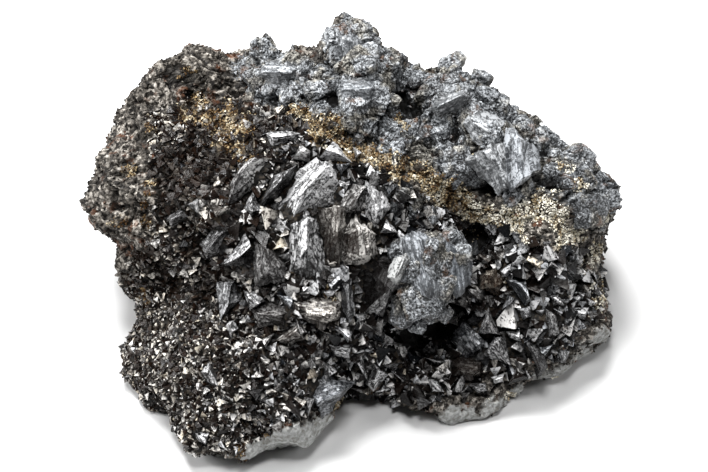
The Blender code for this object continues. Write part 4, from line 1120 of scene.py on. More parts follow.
# Leading crystals, read from the photo: a point (across, up, height), the outline round it, the frost of each
# side, partly its frosted surface and partly painted light and shade of that face, and a tint, brown above 0 and
# blue below.
leading = {
    # The outlines' scale about their middles, how deep the ring sinks and the root reaches, the height's factor,
    # the ridge's half length as a share of the crystal's, and how far the ring stands out of the painted shade at
    # the foot.
    "scale": 1.12,
    "sink": 0.2,
    "root": 5.5,
    "rise": 1.6,
    "ridge": 0.38,
    "ringOutOfShade": 0.45,
    # The read frost times the first less the second, which spreads the sides' painted brightness.
    "contrast": (1.8, 0.1),
    # Cleavage steps: cell size and depth as shares of the crystal's radius, the cells' stretch along the ridge,
    # across it and up, and the splits of each side for each millimetre of the radius.
    "cell": 0.5,
    "step": 0.2,
    "stretch": (0.45, 1.7, 1.0),
    "splits": 2.3,
    "rows": [
        # silver striated blade
        ((-7.7, 10.7, 4.6), [(-11.1, 12.2), (-7.4, 14.8), (-4.4, 13.3), (-3.0, 9.5), (-4.0, 6.2), (-8.9, 5.0),
         (-12.1, 2.4), (-14.1, 5.8), (-12.2, 9.5)], [0.95, 0.9, 0.85, 0.7, 0.6, 0.8, 0.75, 0.9, 1.0], 0),
        # grey striated column
        ((-9.1, -0.2, 3.2), [(-12.2, 2.0), (-9.2, 4.3), (-7.4, 2.8), (-5.9, -1.7), (-5.9, -7.0), (-10.0, -8.1),
         (-12.2, -7.0)], [0.45, 0.5, 0.4, 0.35, 0.3, 0.45, 0.5], 0),
        # curved brown-grey face
        ((-3.0, 3.2, 2.6), [(-7.0, 4.7), (-4.0, 5.4), (-1.4, 5.0), (-1.7, 2.0), (-2.9, -5.1), (-5.1, -4.7),
         (-6.2, -0.2)], [0.5, 0.55, 0.4, 0.2, 0.15, 0.2, 0.3], 0.35),
        # bright triangle, point down
        ((-20.7, 13.5, 3.0), [(-16.6, 13.8), (-19.0, 9.7), (-21.2, 7.8), (-24.4, 6.2), (-23.9, 9.9), (-22.4, 13.7)],
         [0.85, 0.35, 0.25, 0.3, 0.3, 0.3], 0.1),
        # dark elongated
        ((-14.1, 10.7, 3.0), [(-17.5, 5.8), (-17.9, 6.9), (-15.6, 11.4), (-11.3, 13.5), (-12.6, 9.9), (-15.2, 6.9)],
         [0.15, 0.2, 0.35, 0.1, 0.1, 0.1], 0),
        # grey triangle
        ((-19.6, 5.8, 2.4), [(-19.7, 8.4), (-17.9, 5.2), (-19.7, 3.9), (-21.4, 5.4)], [0.35, 0.2, 0.3, 0.5], 0),
        ((-30.8, 5.8, 1.8), [(-32.5, 6.0), (-30.1, 7.5), (-29.9, 3.9), (-31.2, 5.0)], [0.6, 0.9, 0.5, 0.4], 0),
        # silver triangle
        ((-4.2, 16.3, 2.4), [(-4.0, 18.5), (-0.6, 14.4), (-6.6, 15.0)], [0.75, 0.9, 0.5], 0),
        ((0.5, 16.3, 1.6), [(-0.2, 17.4), (1.5, 16.3), (0.3, 14.8)], [0.9, 0.6, 0.5], 0),
        ((-10.0, 16.3, 2.0), [(-10.4, 17.8), (-8.3, 16.3), (-8.7, 14.6), (-12.1, 14.8)], [0.5, 0.5, 0.95, 0.3],
         0.1),
        # white cluster
        ((-14.1, 19.3, 2.2), [(-17.1, 20.0), (-14.1, 20.6), (-10.7, 20.0), (-11.5, 18.5), (-15.6, 17.2),
         (-16.7, 18.5)], [0.8, 0.7, 0.6, 0.5, 0.9, 0.8], 0),
        ((-2.5, 13.3, 1.5), [(-3.4, 14.0), (-0.8, 14.0), (-2.5, 11.6)], [0.45, 0.4, 0.4], -0.3),
        # dull olive
        ((0.7, 7.3, 3.0), [(-2.9, 5.8), (-0.2, 9.9), (2.4, 9.5), (2.4, 5.8), (0.9, 4.3), (-1.7, 3.9)], [0.35, 0.4,
         0.3, 0.3, 0.25, 0.3], 0.15),
        # zebra striated
        ((4.3, 6.9, 3.2), [(2.4, 10.3), (5.4, 8.4), (7.1, 5.8), (3.9, 2.0), (2.2, 4.3), (2.2, 8.0)], [0.8, 0.7, 0.6,
         0.65, 0.7, 0.75], 0),
        # pyramid with white and orange faces
        ((0.9, -1.2, 3.4), [(0.1, 3.9), (4.3, 0.2), (4.6, -3.6), (1.6, -5.1), (-1.4, -5.5), (-2.9, -2.9),
         (-2.3, 0.2)], [0.75, 0.5, 0.85, 0.6, 0.3, 0.15, 0.5], 0.3),
        # large dark crystal with a white face
        ((8.2, -7.7, 4.4), [(4.6, -3.6), (11.8, -4.9), (10.6, -7.7), (7.3, -11.5), (5.4, -15.8), (2.4, -14.1),
         (0.3, -5.5)], [0.5, 0.95, 0.75, 0.45, 0.3, 0.08, 0.08], 0.05),
        ((6.5, 1.3, 1.6), [(6.3, 3.3), (8.6, 0.7), (5.2, 0.7)], [0.6, 0.9, 0.2], 0),
        # dark olive
        ((-16.7, -4.4, 3.0), [(-19.2, -1.3), (-15.2, -2.9), (-13.0, -5.5), (-13.7, -8.5), (-19.0, -9.6)], [0.15,
         0.2, 0.25, 0.2, 0.25], 0.1),
        ((-21.2, -3.2, 2.8), [(-21.1, 0.3), (-19.4, -3.2), (-19.7, -5.9), (-25.7, -5.5)], [0.2, 0.1, 0.2, 0.4], 0),
        ((-27.2, -1.3, 2.4), [(-30.2, -1.3), (-27.2, 1.3), (-24.4, 1.3), (-25.6, -3.2), (-28.7, -4.2)], [0.2, 0.25,
         0.2, 0.25, 0.3], 0),
        ((-24.2, -11.5, 2.6), [(-26.9, -9.2), (-23.5, -9.0), (-21.8, -12.2), (-26.1, -16.2)], [0.4, 0.3, 0.15,
         0.45], -0.1),
        ((-34.6, 3.7, 2.0), [(-37.0, 3.5), (-34.0, 5.2), (-32.3, 3.9), (-35.5, 1.8)], [0.25, 0.2, 0.3, 0.25], 0),
        ((-19.6, -12.6, 2.0), [(-21.4, -10.7), (-19.0, -10.9), (-17.3, -12.6), (-20.1, -14.3)], [0.4, 0.5, 0.3,
         0.35], 0),
        ((-12.8, -12.6, 1.8), [(-14.7, -11.5), (-11.7, -11.9), (-12.1, -14.3)], [0.5, 0.45, 0.3], -0.3),
        # small diamond
        ((-23.9, -17.9, 1.8), [(-25.1, -17.5), (-23.6, -16.5), (-22.6, -18.0), (-23.9, -19.7)], [0.9, 0.6, 0.8,
         0.95], 0),
        ((-1.9, -18.8, 2.0), [(-3.8, -17.3), (-0.4, -18.6), (-1.2, -20.7)], [0.85, 0.8, 0.5], -0.2),
        ((-10.4, -17.7, 1.8), [(-11.3, -15.8), (-9.1, -18.6), (-10.9, -19.2)], [0.5, 0.4, 0.4], 0.1),
        # dark slab
        ((-1.4, -12.2, 2.8), [(-2.5, -9.2), (-0.6, -8.5), (0.1, -15.2), (-1.2, -16.7), (-2.9, -13.0)], [0.2, 0.35,
         0.3, 0.15, 0.1], -0.1),
        # dull yellowish
        ((-6.6, -15.2, 2.4), [(-11.1, -13.0), (-7.7, -11.9), (-2.5, -12.2), (-3.2, -16.0), (-6.2, -18.0),
         (-9.6, -16.0)], [0.3, 0.35, 0.4, 0.35, 0.3, 0.3], 0.4),
        ((-16.7, -15.2, 2.2), [(-19.7, -14.1), (-16.0, -13.0), (-12.2, -14.9), (-13.7, -17.1), (-18.2, -17.9)],
         [0.2, 0.25, 0.2, 0.2, 0.2], 0.15),
        # large flat blue-grey face
        ((-5.1, -31.4, 2.8), [(-9.0, -28.8), (-5.9, -27.3), (-0.4, -28.8), (-3.3, -32.7), (-6.1, -35.3),
         (-8.0, -31.7)], [0.35, 0.4, 0.35, 0.25, 0.3, 0.4], -0.35),
        # bright triangle
        ((-1.5, -19.2, 1.8), [(-4.0, -17.9), (-1.0, -17.6), (-0.5, -20.5)], [0.95, 0.8, 0.6], 0),
        ((-27.8, -27.2, 2.0), [(-29.5, -26.4), (-28.0, -24.4), (-26.2, -29.0), (-28.3, -28.3)], [0.5, 0.45, 0.4,
         0.3], 0),
        ((-16.8, -20.3, 1.8), [(-17.9, -20.0), (-15.5, -18.9), (-17.0, -21.8)], [0.5, 0.35, 0.35], 0.15),
        ((-12.2, -19.2, 2.2), [(-15.2, -20.3), (-10.9, -16.9), (-9.8, -20.0), (-12.4, -21.0)], [0.3, 0.55, 0.3,
         0.25], 0.3),
        ((-2.3, -22.5, 2.0), [(-4.6, -21.3), (-0.5, -21.2), (-0.9, -23.8), (-4.0, -23.1)], [0.35, 0.6, 0.7, 0.3],
         0),
        ((-4.6, -26.0, 2.0), [(-6.1, -24.4), (-3.1, -26.2), (-5.6, -28.3)], [0.45, 0.3, 0.4], 0),
        ((1.3, -25.9, 2.0), [(-0.2, -24.6), (1.9, -24.1), (2.7, -28.3)], [0.4, 0.35, 0.2], 0),
        ((-29.3, -39.2, 1.8), [(-31.1, -37.9), (-28.2, -38.2), (-28.8, -40.7), (-30.3, -40.0)], [0.6, 0.5, 0.55,
         0.4], 0),
        ((-18.7, -30.3, 2.0), [(-20.4, -29.8), (-17.4, -29.3), (-18.6, -32.0)], [0.1, 0.2, 0.1], 0),
        ((-8.7, -33.0, 1.6), [(-9.5, -31.4), (-7.7, -31.4), (-8.8, -34.8)], [0.4, 0.45, 0.3], 0),
        ((-23.0, -41.6, 1.2), [(-23.5, -40.7), (-22.3, -40.8), (-22.6, -43.1)], [0.95, 0.9, 0.6], 0),
        # upright tetrahedron
        ((26.6, -17.5, 3.6), [(26.5, -14.3), (28.9, -19.4), (24.5, -19.1)], [0.35, 0.45, 0.5], 0.05),
        # large tetrahedron
        ((28.2, -22.5, 3.6), [(27.8, -19.7), (29.9, -20.0), (31.2, -25.6), (25.7, -23.4)], [0.4, 0.3, 0.5, 0.4], 0),
        # blocky bluish
        ((23.5, -20.2, 3.2), [(20.1, -18.5), (21.8, -17.0), (23.6, -18.5), (25.7, -20.5), (25.0, -23.0),
         (22.1, -24.0), (19.4, -20.8)], [0.2, 0.15, 0.45, 0.3, 0.2, 0.35, 0.15], -0.25),
        # bright block
        ((31.6, -19.5, 1.8), [(30.0, -18.8), (32.6, -18.6), (32.8, -20.7), (30.6, -20.2)], [0.9, 0.6, 0.8, 0.95],
         0),
        ((20.4, -21.3, 1.4), [(19.2, -20.3), (21.6, -21.2), (21.1, -22.4)], [0.7, 0.7, 0.4], 0),
        # dark with brown and green glints
        ((22.4, -26.2, 3.0), [(19.1, -24.5), (22.8, -23.9), (25.1, -24.9), (25.3, -27.2), (22.8, -29.1),
         (19.7, -27.4)], [0.12, 0.15, 0.1, 0.2, 0.15, 0.1], 0.35),
        # brown translucent
        ((27.2, -9.0, 2.8), [(24.8, -10.4), (25.5, -7.5), (27.8, -6.5), (29.4, -9.0), (28.9, -11.9), (26.8, -11.2)],
         [0.15, 0.3, 0.15, 0.1, 0.1, 0.15], 0.7),
        ((29.9, -7.0, 1.5), [(28.7, -6.7), (30.9, -5.5), (31.3, -7.0), (29.7, -8.5)], [0.9, 0.9, 0.7, 0.6], 0),
        # bluish striated blade
        ((33.3, -10.7, 2.4), [(29.9, -8.7), (33.6, -8.7), (34.6, -12.7), (33.4, -13.6)], [0.25, 0.5, 0.5, 0.15],
         -0.3),
        ((30.9, -12.7, 1.8), [(29.2, -14.4), (30.2, -11.7), (31.6, -12.6)], [0.3, 0.45, 0.3], -0.2),
        # dark blade
        ((36.0, -24.5, 2.6), [(33.6, -20.8), (35.3, -20.5), (37.6, -22.5), (38.3, -25.9), (36.3, -28.1)], [0.25,
         0.2, 0.15, 0.1, 0.15], 0),
        ((37.8, -22.5, 1.4), [(36.1, -22.0), (39.5, -21.3), (37.3, -24.4)], [0.45, 0.4, 0.4], -0.3),
        # silver cluster
        ((42.9, -10.4, 1.8), [(41.9, -9.4), (44.1, -9.5), (43.2, -12.2), (41.5, -11.4)], [0.9, 0.6, 0.7, 0.8], 0),
        ((45.2, -11.7, 1.2), [(44.6, -11.2), (46.1, -11.4), (45.4, -12.6)], [0.95, 0.8, 0.7], 0),
        ((47.3, -13.1, 1.4), [(46.3, -12.4), (48.6, -13.4), (46.8, -14.3)], [0.9, 0.8, 0.6], 0),
        ((44.9, -15.3, 1.8), [(43.4, -14.3), (46.6, -14.3), (45.9, -16.6), (43.7, -15.9)], [0.8, 0.6, 0.6, 0.7], 0),
        # bright rough triangle
        ((28.5, -28.1, 1.8), [(27.0, -27.9), (29.7, -27.1), (29.4, -28.8), (27.8, -29.1)], [0.9, 0.9, 0.8, 0.8], 0),
        ((34.4, -27.2, 1.4), [(33.6, -25.9), (35.4, -27.8), (34.4, -28.4)], [0.9, 0.7, 0.7], 0),
        ((4.4, -27.2, 2.2), [(3.5, -25.1), (6.7, -27.4), (3.9, -30.3), (2.2, -28.6)], [0.35, 0.7, 0.5, 0.2], 0),
        ((16.0, -24.6, 1.4), [(13.8, -24.0), (17.9, -24.9), (16.4, -25.4)], [0.9, 0.7, 0.5], 0),
        ((15.9, -29.4, 1.8), [(14.5, -28.1), (16.5, -28.6), (17.6, -30.6), (15.4, -30.6)], [0.8, 0.6, 0.6, 0.5], 0),
        ((39.0, -16.8, 2.4), [(37.5, -14.4), (40.0, -15.8), (40.5, -19.1), (38.3, -19.8)], [0.35, 0.3, 0.35, 0.3],
         0.05),
        ((40.0, -12.7, 1.8), [(38.3, -11.7), (40.3, -11.4), (41.5, -13.7), (39.3, -13.7)], [0.4, 0.45, 0.3, 0.3],
         0),
        ((24.8, -30.0, 1.8), [(22.8, -29.3), (25.8, -28.9), (26.3, -30.6), (24.5, -31.1)], [0.4, 0.5, 0.4, 0.3], 0),
        ((41.0, -23.5, 1.8), [(40.0, -21.5), (42.7, -22.9), (42.0, -25.2), (40.0, -24.9)], [0.35, 0.4, 0.3, 0.25],
         -0.1),
        ((33.6, -15.1, 1.8), [(32.2, -14.4), (34.6, -13.7), (34.9, -15.8), (33.3, -16.4)], [0.5, 0.4, 0.3, 0.4],
         -0.1),
        ((7.6, -25.6, 1.8), [(5.9, -25.6), (9.3, -24.9), (7.9, -26.9)], [0.2, 0.3, 0.15], 0),
        ((22.8, -15.8, 1.6), [(21.9, -13.7), (23.1, -14.4), (22.8, -15.1)], [0.5, 0.4, 0.4], 0),
    ],
}


# Flat galena pieces in the same form, with a lift over the rock where they lie on the knob. Their sides' frost
# is their pale cleavage faces and painted reflection both, and their feet get the same painted shade.
plates = {
    "scale": 1.0,
    "sink": 0.4,
    "root": 4.0,
    "rise": 1.0,
    "ridge": 0.6,
    "ringOutOfShade": 0.45,
    "contrast": (1.35, 0.02),
    "cell": 0.45,
    "step": 0.17,
    "stretch": (0.4, 1.5, 1.0),
    "splits": 2.8,
    "rows": [
        # pale plate
        ((32.6, 15.2, 2.0, 2.4), [(29.8, 21.2), (31.2, 21.4), (34.5, 18.8), (36.9, 15.5), (36.9, 12.9),
         (34.5, 11.4), (30.6, 8.4), (29.6, 9.6), (29.0, 16.9)], [0.9, 1.0, 0.95, 0.9, 0.9, 1.0, 1.0, 0.8, 0.85],
         -0.25),
        # striated flank
        ((28.4, 13.5, 1.8, 2.0), [(21.4, 14.5), (23.1, 16.4), (26.5, 18.0), (29.4, 18.6), (30.2, 12.0), (30.2, 9.0),
         (28.2, 8.0), (24.7, 11.0)], [0.5, 0.6, 0.7, 0.7, 0.6, 0.6, 0.5, 0.55], 0.1),
        # pale block above
        ((25.5, 21.0, 2.6, 1.2), [(21.2, 22.2), (22.7, 24.1), (25.3, 24.7), (28.2, 24.1), (29.8, 22.5),
         (28.6, 19.8), (27.3, 16.9), (23.3, 18.0)], [0.8, 0.9, 0.85, 0.8, 0.7, 0.65, 0.7, 0.75], 0.1),
        # two pieces of the knob
        ((13.0, -5.5, 2.8, 7.9), [(9.0, -0.4), (11.4, 1.6), (14.9, 0.0), (16.9, -5.1), (17.3, -10.6), (14.9, -13.5),
         (12.0, -12.5), (10.0, -6.7)], [0.5, 0.7, 0.55, 0.35, 0.3, 0.35, 0.4, 0.6], -0.3),
        ((20.0, -6.0, 2.8, 11.0), [(17.1, -0.4), (20.4, -1.8), (23.3, -5.1), (22.7, -9.6), (19.8, -12.5),
         (17.5, -9.6)], [0.45, 0.5, 0.3, 0.25, 0.25, 0.35], -0.5),
        # pale face beside the knob
        ((8.9, -6.2, 3.0, 6.8), [(6.2, -7.8), (7.4, -4.2), (10.2, -3.0), (11.8, -5.0), (11.0, -8.2), (8.6, -9.8)],
         [1.0, 1.3, 1.2, 0.8, 0.9, 1.2], 0.4),
        # faces of the ridge
        ((0.5, 28.6, 2.2, 1.2), [(-3.6, 28.0), (-2.0, 30.8), (1.6, 31.6), (4.4, 30.0), (4.8, 27.0), (2.4, 24.6),
         (-1.6, 24.8)], [0.45, 0.5, 0.5, 0.45, 0.4, 0.4, 0.45], -0.15),
        ((-1.0, 36.6, 2.2, 0.8), [(-4.2, 36.0), (-3.0, 39.6), (0.4, 40.0), (2.4, 37.4), (1.6, 34.2), (-1.8, 33.4)],
         [0.5, 0.55, 0.5, 0.4, 0.4, 0.5], -0.1),
        ((-15.0, 32.2, 2.2, 2.0), [(-19.2, 31.6), (-17.6, 34.6), (-13.6, 35.4), (-11.0, 33.4), (-11.6, 30.6),
         (-15.0, 29.6)], [0.5, 0.55, 0.55, 0.5, 0.45, 0.5], 0.0),
        ((19.0, 26.6, 2.2, 1.8), [(14.6, 25.0), (17.0, 28.2), (21.4, 29.2), (23.6, 27.4), (20.6, 24.4),
         (16.6, 23.4)], [0.45, 0.55, 0.55, 0.45, 0.4, 0.45], 0.1),
    ],
}


# Stepped crystals and plates: the slope of the grain along the ridge, the limits of a side's splits, a cell's shade
# as (least, range), that of the joints as (least, gap from, gap to), the level that lies on the side and the seeds.
steps = {
    "slope": 0.15,
    "splits": (3, 11),
    "cellShade": (0.5, 0.9),
    "jointShade": (0.3, 0.02, 0.14),
    "level": 0.85,
    "cellSeed": 75,
    "shiftSeed": 5,
}


def splitFaces(corners, faces, count):
    # Every triangle becomes count squared smaller ones. The new points are shares of its corners; those that meet
    # are merged.
    i, j = (grid.ravel() for grid in np.meshgrid(np.arange(count + 1), np.arange(count + 1), indexing="ij"))
    inside = i + j <= count
    index = np.where(inside, np.cumsum(inside) - 1, -1).reshape(count + 1, -1)
    shares = np.stack([count - i - j, i, j], 1)[inside] / count
    upright = (index[:-1, :-1], index[1:, :-1], index[:-1, 1:])
    turned = (index[1:, :-1], index[1:, 1:], index[:-1, 1:])
    cells = np.concatenate([np.stack(part, -1).reshape(-1, 3) for part in (upright, turned)])
    cells = cells[(cells >= 0).all(1)]
    points = np.einsum("pk,fkc->fpc", shares, corners[faces]).reshape(-1, corners.shape[1])
    unique, back = np.unique(np.round(points, 5), axis=0, return_inverse=True)
    cells = cells[None] + (np.arange(len(faces)) * len(shares))[:, None, None]
    return unique, back.ravel()[cells.reshape(-1, 3)], np.repeat(np.arange(len(faces)), count**2)


def steppedCrystal(form, corners, faces, tones, long, middle, radius, shift):
    # Cells drawn out along the ridge sink parts of each side in steps; their joints and lower steps are darker.
    along = unit(np.array([*long, steps["slope"] * np.hypot(*long)]))
    across = unit(np.cross([0.0, 0.0, 1.0], along))
    grain = np.stack([along, across, np.cross(along, across)], -1)
    count = int(np.clip(round(radius * form["splits"]), *steps["splits"]))
    points, small, parent = splitFaces(corners, faces, count)
    size = radius * form["cell"]

    def cellsAt(places):
        return cellFields((places @ grain + shift) * form["stretch"], size, steps["cellSeed"], np.inf)

    places = points[:, :3]
    tag = cellsAt(places)[2]
    nearest, second, faceTag = cellsAt(places[small].mean(1))
    least, span = steps["cellShade"]
    dark, start, end = steps["jointShade"]
    shade = (least + span * faceTag) * (dark + (1 - dark) * smooth(second - nearest, start, end))
    stepped = places + unit(places - middle) * ((tag - steps["level"]) * radius * form["step"])[:, None]
    return stepped, small, tones[parent] * shade, points[:, 3], places @ grain + shift


def ridgedForm(form, row):
    # A short ridge over a ring of outline points sunk in the crust, closed below by a root point. The ridge runs
    # along the ring's longest way, and each ring point joins the nearer ridge end. The last column of the corners
    # is how far a point stands out of the painted shade at the crystal's foot.
    (x, y, height, *lift), outline, sides, _ = row
    ring = np.array(outline)
    ring = ring.mean(0) + (ring - ring.mean(0)) * form["scale"]
    ahead = np.roll(ring, -1, axis=0)
    area = (ring[:, 0] * ahead[:, 1] - ring[:, 1] * ahead[:, 0]).sum() / 2
    if area < 0:
        ring, sides = ring[::-1], sides[-2::-1] + sides[-1:]
    here, _ = frontPoints(np.vstack([ring, [[x, y]]]))
    here[:, 2] += sum(lift)
    base = np.column_stack([ring, here[:-1, 2] * 0.5 + here[-1, 2] * 0.5 - form["sink"]])
    spread = ring - ring.mean(0)
    heading = np.linalg.svd(spread)[2][0]
    long = heading * np.abs(spread @ heading).max() * form["ridge"]
    top = here[-1, 2] + height * form["rise"]
    ridgeEnds = [[x + long[0], y + long[1], top], [x - long[0], y - long[1], top - 0.25 * height]]
    root = [[x, y, here[-1, 2] - form["root"]]]
    count = len(ring)
    rise = np.concatenate([np.full(count, form["ringOutOfShade"]), [1, 1, 0]])
    corners = np.column_stack([np.concatenate([base, ridgeEnds, root]), rise])
    step = np.arange(count)
    after = (step + 1) % count
    end = count + ((ring - [x, y]) @ long < 0)
    turning = end != end[after]
    upper = np.stack([step, after, end], 1)
    crest = np.stack([after, end[after], end], 1)[turning]
    lower = np.stack([after, step, np.full(count, count + 2)], 1)
    gain, loss = form["contrast"]
    sides = np.maximum(np.array(sides) * gain - loss, 0)
    sides = np.concatenate([sides, sides[turning], np.zeros(count)])
    middle = np.array([x, y, base[:, 2].mean()])
    return corners, np.concatenate([upper, crest, lower]), sides, long, middle, math.sqrt(abs(area) / math.pi)


def makeStepped(name, form, material):
    # One piece of all the rows of a form.
    parts = {"points": [], "loops": [], "tone": [], "tint": [], "rise": [], "facet": []}
    start = 0
    rng = np.random.default_rng(steps["shiftSeed"])
    for row in form["rows"]:
        points, small, tone, rise, facet = steppedCrystal(form, *ridgedForm(form, row), rng.uniform(0, 50, 3))
        tint = np.full(len(points), row[-1])
        for key, values in zip(parts, (points, small.ravel() + start, tone, tint, rise, facet)):
            parts[key].append(values)
        start += len(points)
    whole = {key: np.concatenate(values) for key, values in parts.items()}
    piece = newPiece(
        name, whole["points"], whole["loops"], np.full(len(whole["loops"]) // 3, 3), material,
        {"tone": ("FACE", whole["tone"]), **{key: ("POINT", whole[key]) for key in ("tint", "rise", "facet")}},
    )
    return piece


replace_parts(makeStepped("leading_crystals", leading, crystalMaterial), "sphalerite_crystals")
makeStepped("galena_plates", plates, plateMaterial)

# The rest of the crust. Sizes follow the photo: (across, up, typical size) at places that spread their size about.
crust = {
    "grades": [
        (-38, -22, 1.1), (-30, -32, 1.2), (-25, -20, 1.3), (-20, -36, 1.4), (-15, -28, 1.9), (-14, -17, 1.9),
        (-5, -22, 2.2), (-8, -33, 2.0), (2, -29, 2.5), (8, -27, 2.4), (-10, 5, 3.1), (-15, -4, 3.4), (-2, -6, 2.9),
        (4, -1, 2.8), (-22, 2, 3.0), (-30, 5, 1.7), (-36, 10, 1.4), (-36, 0, 1.4), (-30, 18, 1.3), (-20, 18, 1.5),
        (-14, 20, 1.6), (-35, 24, 1.1), (-40, -8, 1.2), (28, -18, 4.4), (24, -26, 3.4), (34, -10, 3.6),
        (36, -24, 3.5), (45, -15, 2.7), (16, -28, 2.6), (48, -20, 1.6), (30, -3, 2.0), (10, 4, 1.8), (18, -20, 2.2),
    ],
    "spread": 6.0,
    "sizes": (0.55, 1.45),
    # How far behind the side view crystals grow, and how far siderite keeps them off.
    "back": -0.3,
    "siderite": 0.9,
    # Shares of the faces up to which the frost rises from none over faint and half to full, and the frost, partly
    # frosted faces and partly painted glints.
    "faces": (0.0, 0.42, 0.62, 0.78, 1.0),
    "frostAndGlints": (0.0, 0.012, 0.38, 1.0, 1.6),
    # Cuts of the points: shape and mean step of their gamma spread, and its limits. Then the range of the stretch
    # along each axis, the lean, the share that points inward, and how far a middle stands out, as a share of size.
    "cuts": (1.6, 0.07),
    "cutLimits": (0.02, 0.42),
    "stretch": (0.75, 1.3),
    "lean": 0.75,
    "flipped": 0.35,
    "lift": 0.12,
    # How far a crystal may pass the CAD part's box, in metres.
    "margin": 0.0008,
    # Heights over the rock, as shares of the size, from which and up to which a crystal loses the painted shade at
    # its foot.
    "dark": (-0.05, 0.5),
    # Two grades: name, places tried, share of the size, how near two may stand, how far they keep out of the leading
    # crystals' outlines and seed.
    "kinds": [("crust_crystals", 9000, 1.0, 0.5, -0.35, 91), ("druse", 26000, 0.55, 0.5, -0.3, 92)],
    # How brown the crystals are from left to right, as (across, tint), the spread of the tint, and the share and
    # tint of the brown ones.
    "tintSpread": 0.16,
    "brown": (0.012, 0.8),
    "tints": [(-50, 0.52), (-28, 0.4), (-12, 0.14), (8, 0.05), (50, 0.03)],
    # Painted shade as (across, up, radius, share), or painted light where the share is below zero, over a slow
    # random change of the tone.
    "shade": [
        (-38, 13, 5.5, 0.6), (-30, 9, 6.5, 0.6), (-33, -9, 6.0, 0.6), (-24, -12, 4.0, 0.3), (6, -21, 3.5, 0.25),
        (15, -22, 4.0, 0.35), (30, -5, 4.0, 0.4), (-27, 16, 5.0, 0.5), (-40, -2, 4.5, 0.5),
        (-26, 25, 5.0, 0.5), (-18, 21, 4.0, 0.3), (-35, 26, 3.5, 0.6), (-4, 2, 7.0, -0.35), (1, -17, 6.0, -0.4),
        (-16, -6, 6.0, -0.25), (30, -14, 7.0, -0.35),
    ],
    "drift": (8.0, 0.95, 0.32),
    "shadeLimits": (0.12, 1.3),
}


def crystalSizes(places):
    # Mean of the grades, each weighted by a bell of its distance.
    grades = np.array(crust["grades"], float)
    weight = bell(places[:, 0:1], places[:, 1:2], grades.T, crust["spread"]) + 1e-9
    return (weight * grades[None, :, 2]).sum(1) / weight.sum(1)


def crystalShade(places):
    # A slow field about its mean, less a bell of painted shade at each darker place; a share below zero adds painted
    # light instead.
    size, mean, swing = crust["drift"]
    shade = mean + swing * waves(places, size, 95)
    for x, y, reach, share in crust["shade"]:
        shade -= share * bell(places[:, 0], places[:, 1], (x, y), reach)
    return np.clip(shade, *crust["shadeLimits"])


def leadingCover(places):
    # How deep a place lies in the outline of a leading crystal, in millimetres.
    cover = np.full(len(places), -9.0)
    for _, outline, _, _ in leading["rows"]:
        cover = np.maximum(cover, edgeDistance(places[:, 0], places[:, 1], [tuple(p) for p in outline]))
    return cover


def makeCrystals(name, count, factor, closeness, clear, seed):
    # Cut tetrahedra on the crust, points outward with a random lean, larger ones first.
    rng = np.random.default_rng(seed)
    weights = surface["crust"] * (1 - surface["hole"]) * (surface["facing"] > crust["back"])
    weights *= 1 - crust["siderite"] * surface["siderite"]
    places, normals = scatter(surface, weights, count, rng)
    size = crystalSizes(places) * factor * rng.uniform(*crust["sizes"], count)
    free = leadingCover(places) < size * clear
    places, normals, size = places[free], normals[free], size[free]
    kept = thin(places, size, closeness)
    places, normals, size = places[kept], normals[kept], size[kept]
    cuts = np.clip(rng.gamma(*crust["cuts"], (len(places), 4)), *crust["cutLimits"])
    shapes, local, inside = standTetrahedra(
        crust, places, normals, cuts, size / math.sqrt(8 / 3), size * crust["lift"], rng
    )
    # Painted shade at the foot: how high each point stands over the rock, from none to full colour.
    rise = smooth(((shapes - places[:, None]) * normals[:, None]).sum(-1) / size[:, None], *crust["dark"])
    shapes, local, rise, places = shapes[inside], local[inside], rise[inside], places[inside]
    count = len(shapes)
    draw = rng.random((count, 8))
    # Each face's frost, partly painted glints, times the painted shade and light of its place.
    tone = np.interp(draw, crust["faces"], crust["frostAndGlints"]) * crystalShade(places)[:, None]
    tint = rng.normal(np.interp(places[:, 0], *zip(*crust["tints"])), crust["tintSpread"])
    brownShare, brownTint = crust["brown"]
    tint = np.where(rng.random(count) < brownShare, brownTint, tint)
    fields = {"tint": ("POINT", np.repeat(tint, 12)), "rise": ("POINT", rise.ravel())}
    piece = newTetrahedra(name, shapes, local, tone, fields, crystalMaterial, rng)


for grade in crust["kinds"]:
    makeCrystals(*grade)

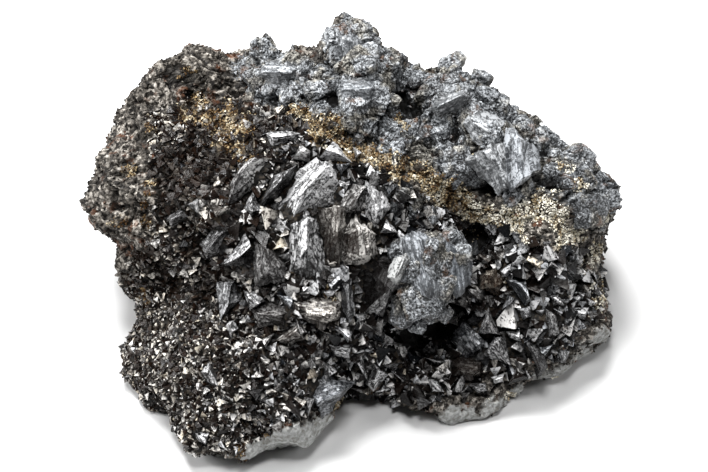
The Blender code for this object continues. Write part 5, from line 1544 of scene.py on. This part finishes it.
# Floor, lights and the camera at the photo's angle.
studio = {
    "distance": 0.60,
    "lens": 153.5,
    "sensor": 36,
    # Grey, roughness and side of the floor, and the light of the world.
    "floor": 0.6,
    "roughness": 0.9,
    "floorSize": 1.6,
    "world": 0.05,
    # Softboxes as (name, place, size, power), all aimed at the specimen.
    "boxes": [
        ("key", (-0.12, 0.24, 0.80), (0.34, 0.28), 14.0),
        ("right", (0.60, -0.05, 0.45), (0.20, 0.30), 1.4),
        ("left", (-0.55, -0.05, 0.38), (0.30, 0.30), 4.2),
        ("top", (-0.02, -0.26, 0.88), (0.20, 0.16), 4.8),
    ],
}


def makeStudio():
    # A matte floor, the softboxes, a faint world and the camera, all aimed at the display centre.
    middle = Vector(display["centre"] * 0.001)
    bpy.ops.mesh.primitive_plane_add(size=studio["floorSize"])
    floor = bpy.context.object
    floor.name = "floor"
    material, tree, shader = newMaterial("floor")
    feedNamed(tree, shader, {"Base Color": (studio["floor"],) * 3, "Roughness": studio["roughness"]})
    floor.data.materials.append(material)
    for name, place, size, power in studio["boxes"]:
        light = bpy.data.lights.new(name, "AREA")
        light.shape, light.size, light.size_y, light.energy = "RECTANGLE", size[0], size[1], power
        box = bpy.data.objects.new(name, light)
        box.location = place
        box.rotation_euler = (middle - Vector(place)).to_track_quat("-Z", "Y").to_euler()
        bpy.context.scene.collection.objects.link(box)
    world = bpy.data.worlds.new("studio")
    world.use_nodes = True
    background = world.node_tree.nodes["Background"].inputs
    feedNamed(world.node_tree, background, {"Color": (1, 1, 1), "Strength": studio["world"]})
    bpy.context.scene.world = world
    camera = bpy.data.objects.new("camera", bpy.data.cameras.new("camera"))
    toViewer = Vector((0, -math.cos(display["tilt"]), math.sin(display["tilt"])))
    camera.location = middle + toViewer * studio["distance"]
    camera.rotation_euler = (-toViewer).to_track_quat("-Z", "Y").to_euler()
    camera.data.lens = studio["lens"]
    camera.data.sensor_width = studio["sensor"]
    bpy.context.scene.collection.objects.link(camera)
    bpy.context.scene.camera = camera
    bpy.context.scene.view_settings.view_transform = "Standard"
    print("studio ready")


makeStudio()
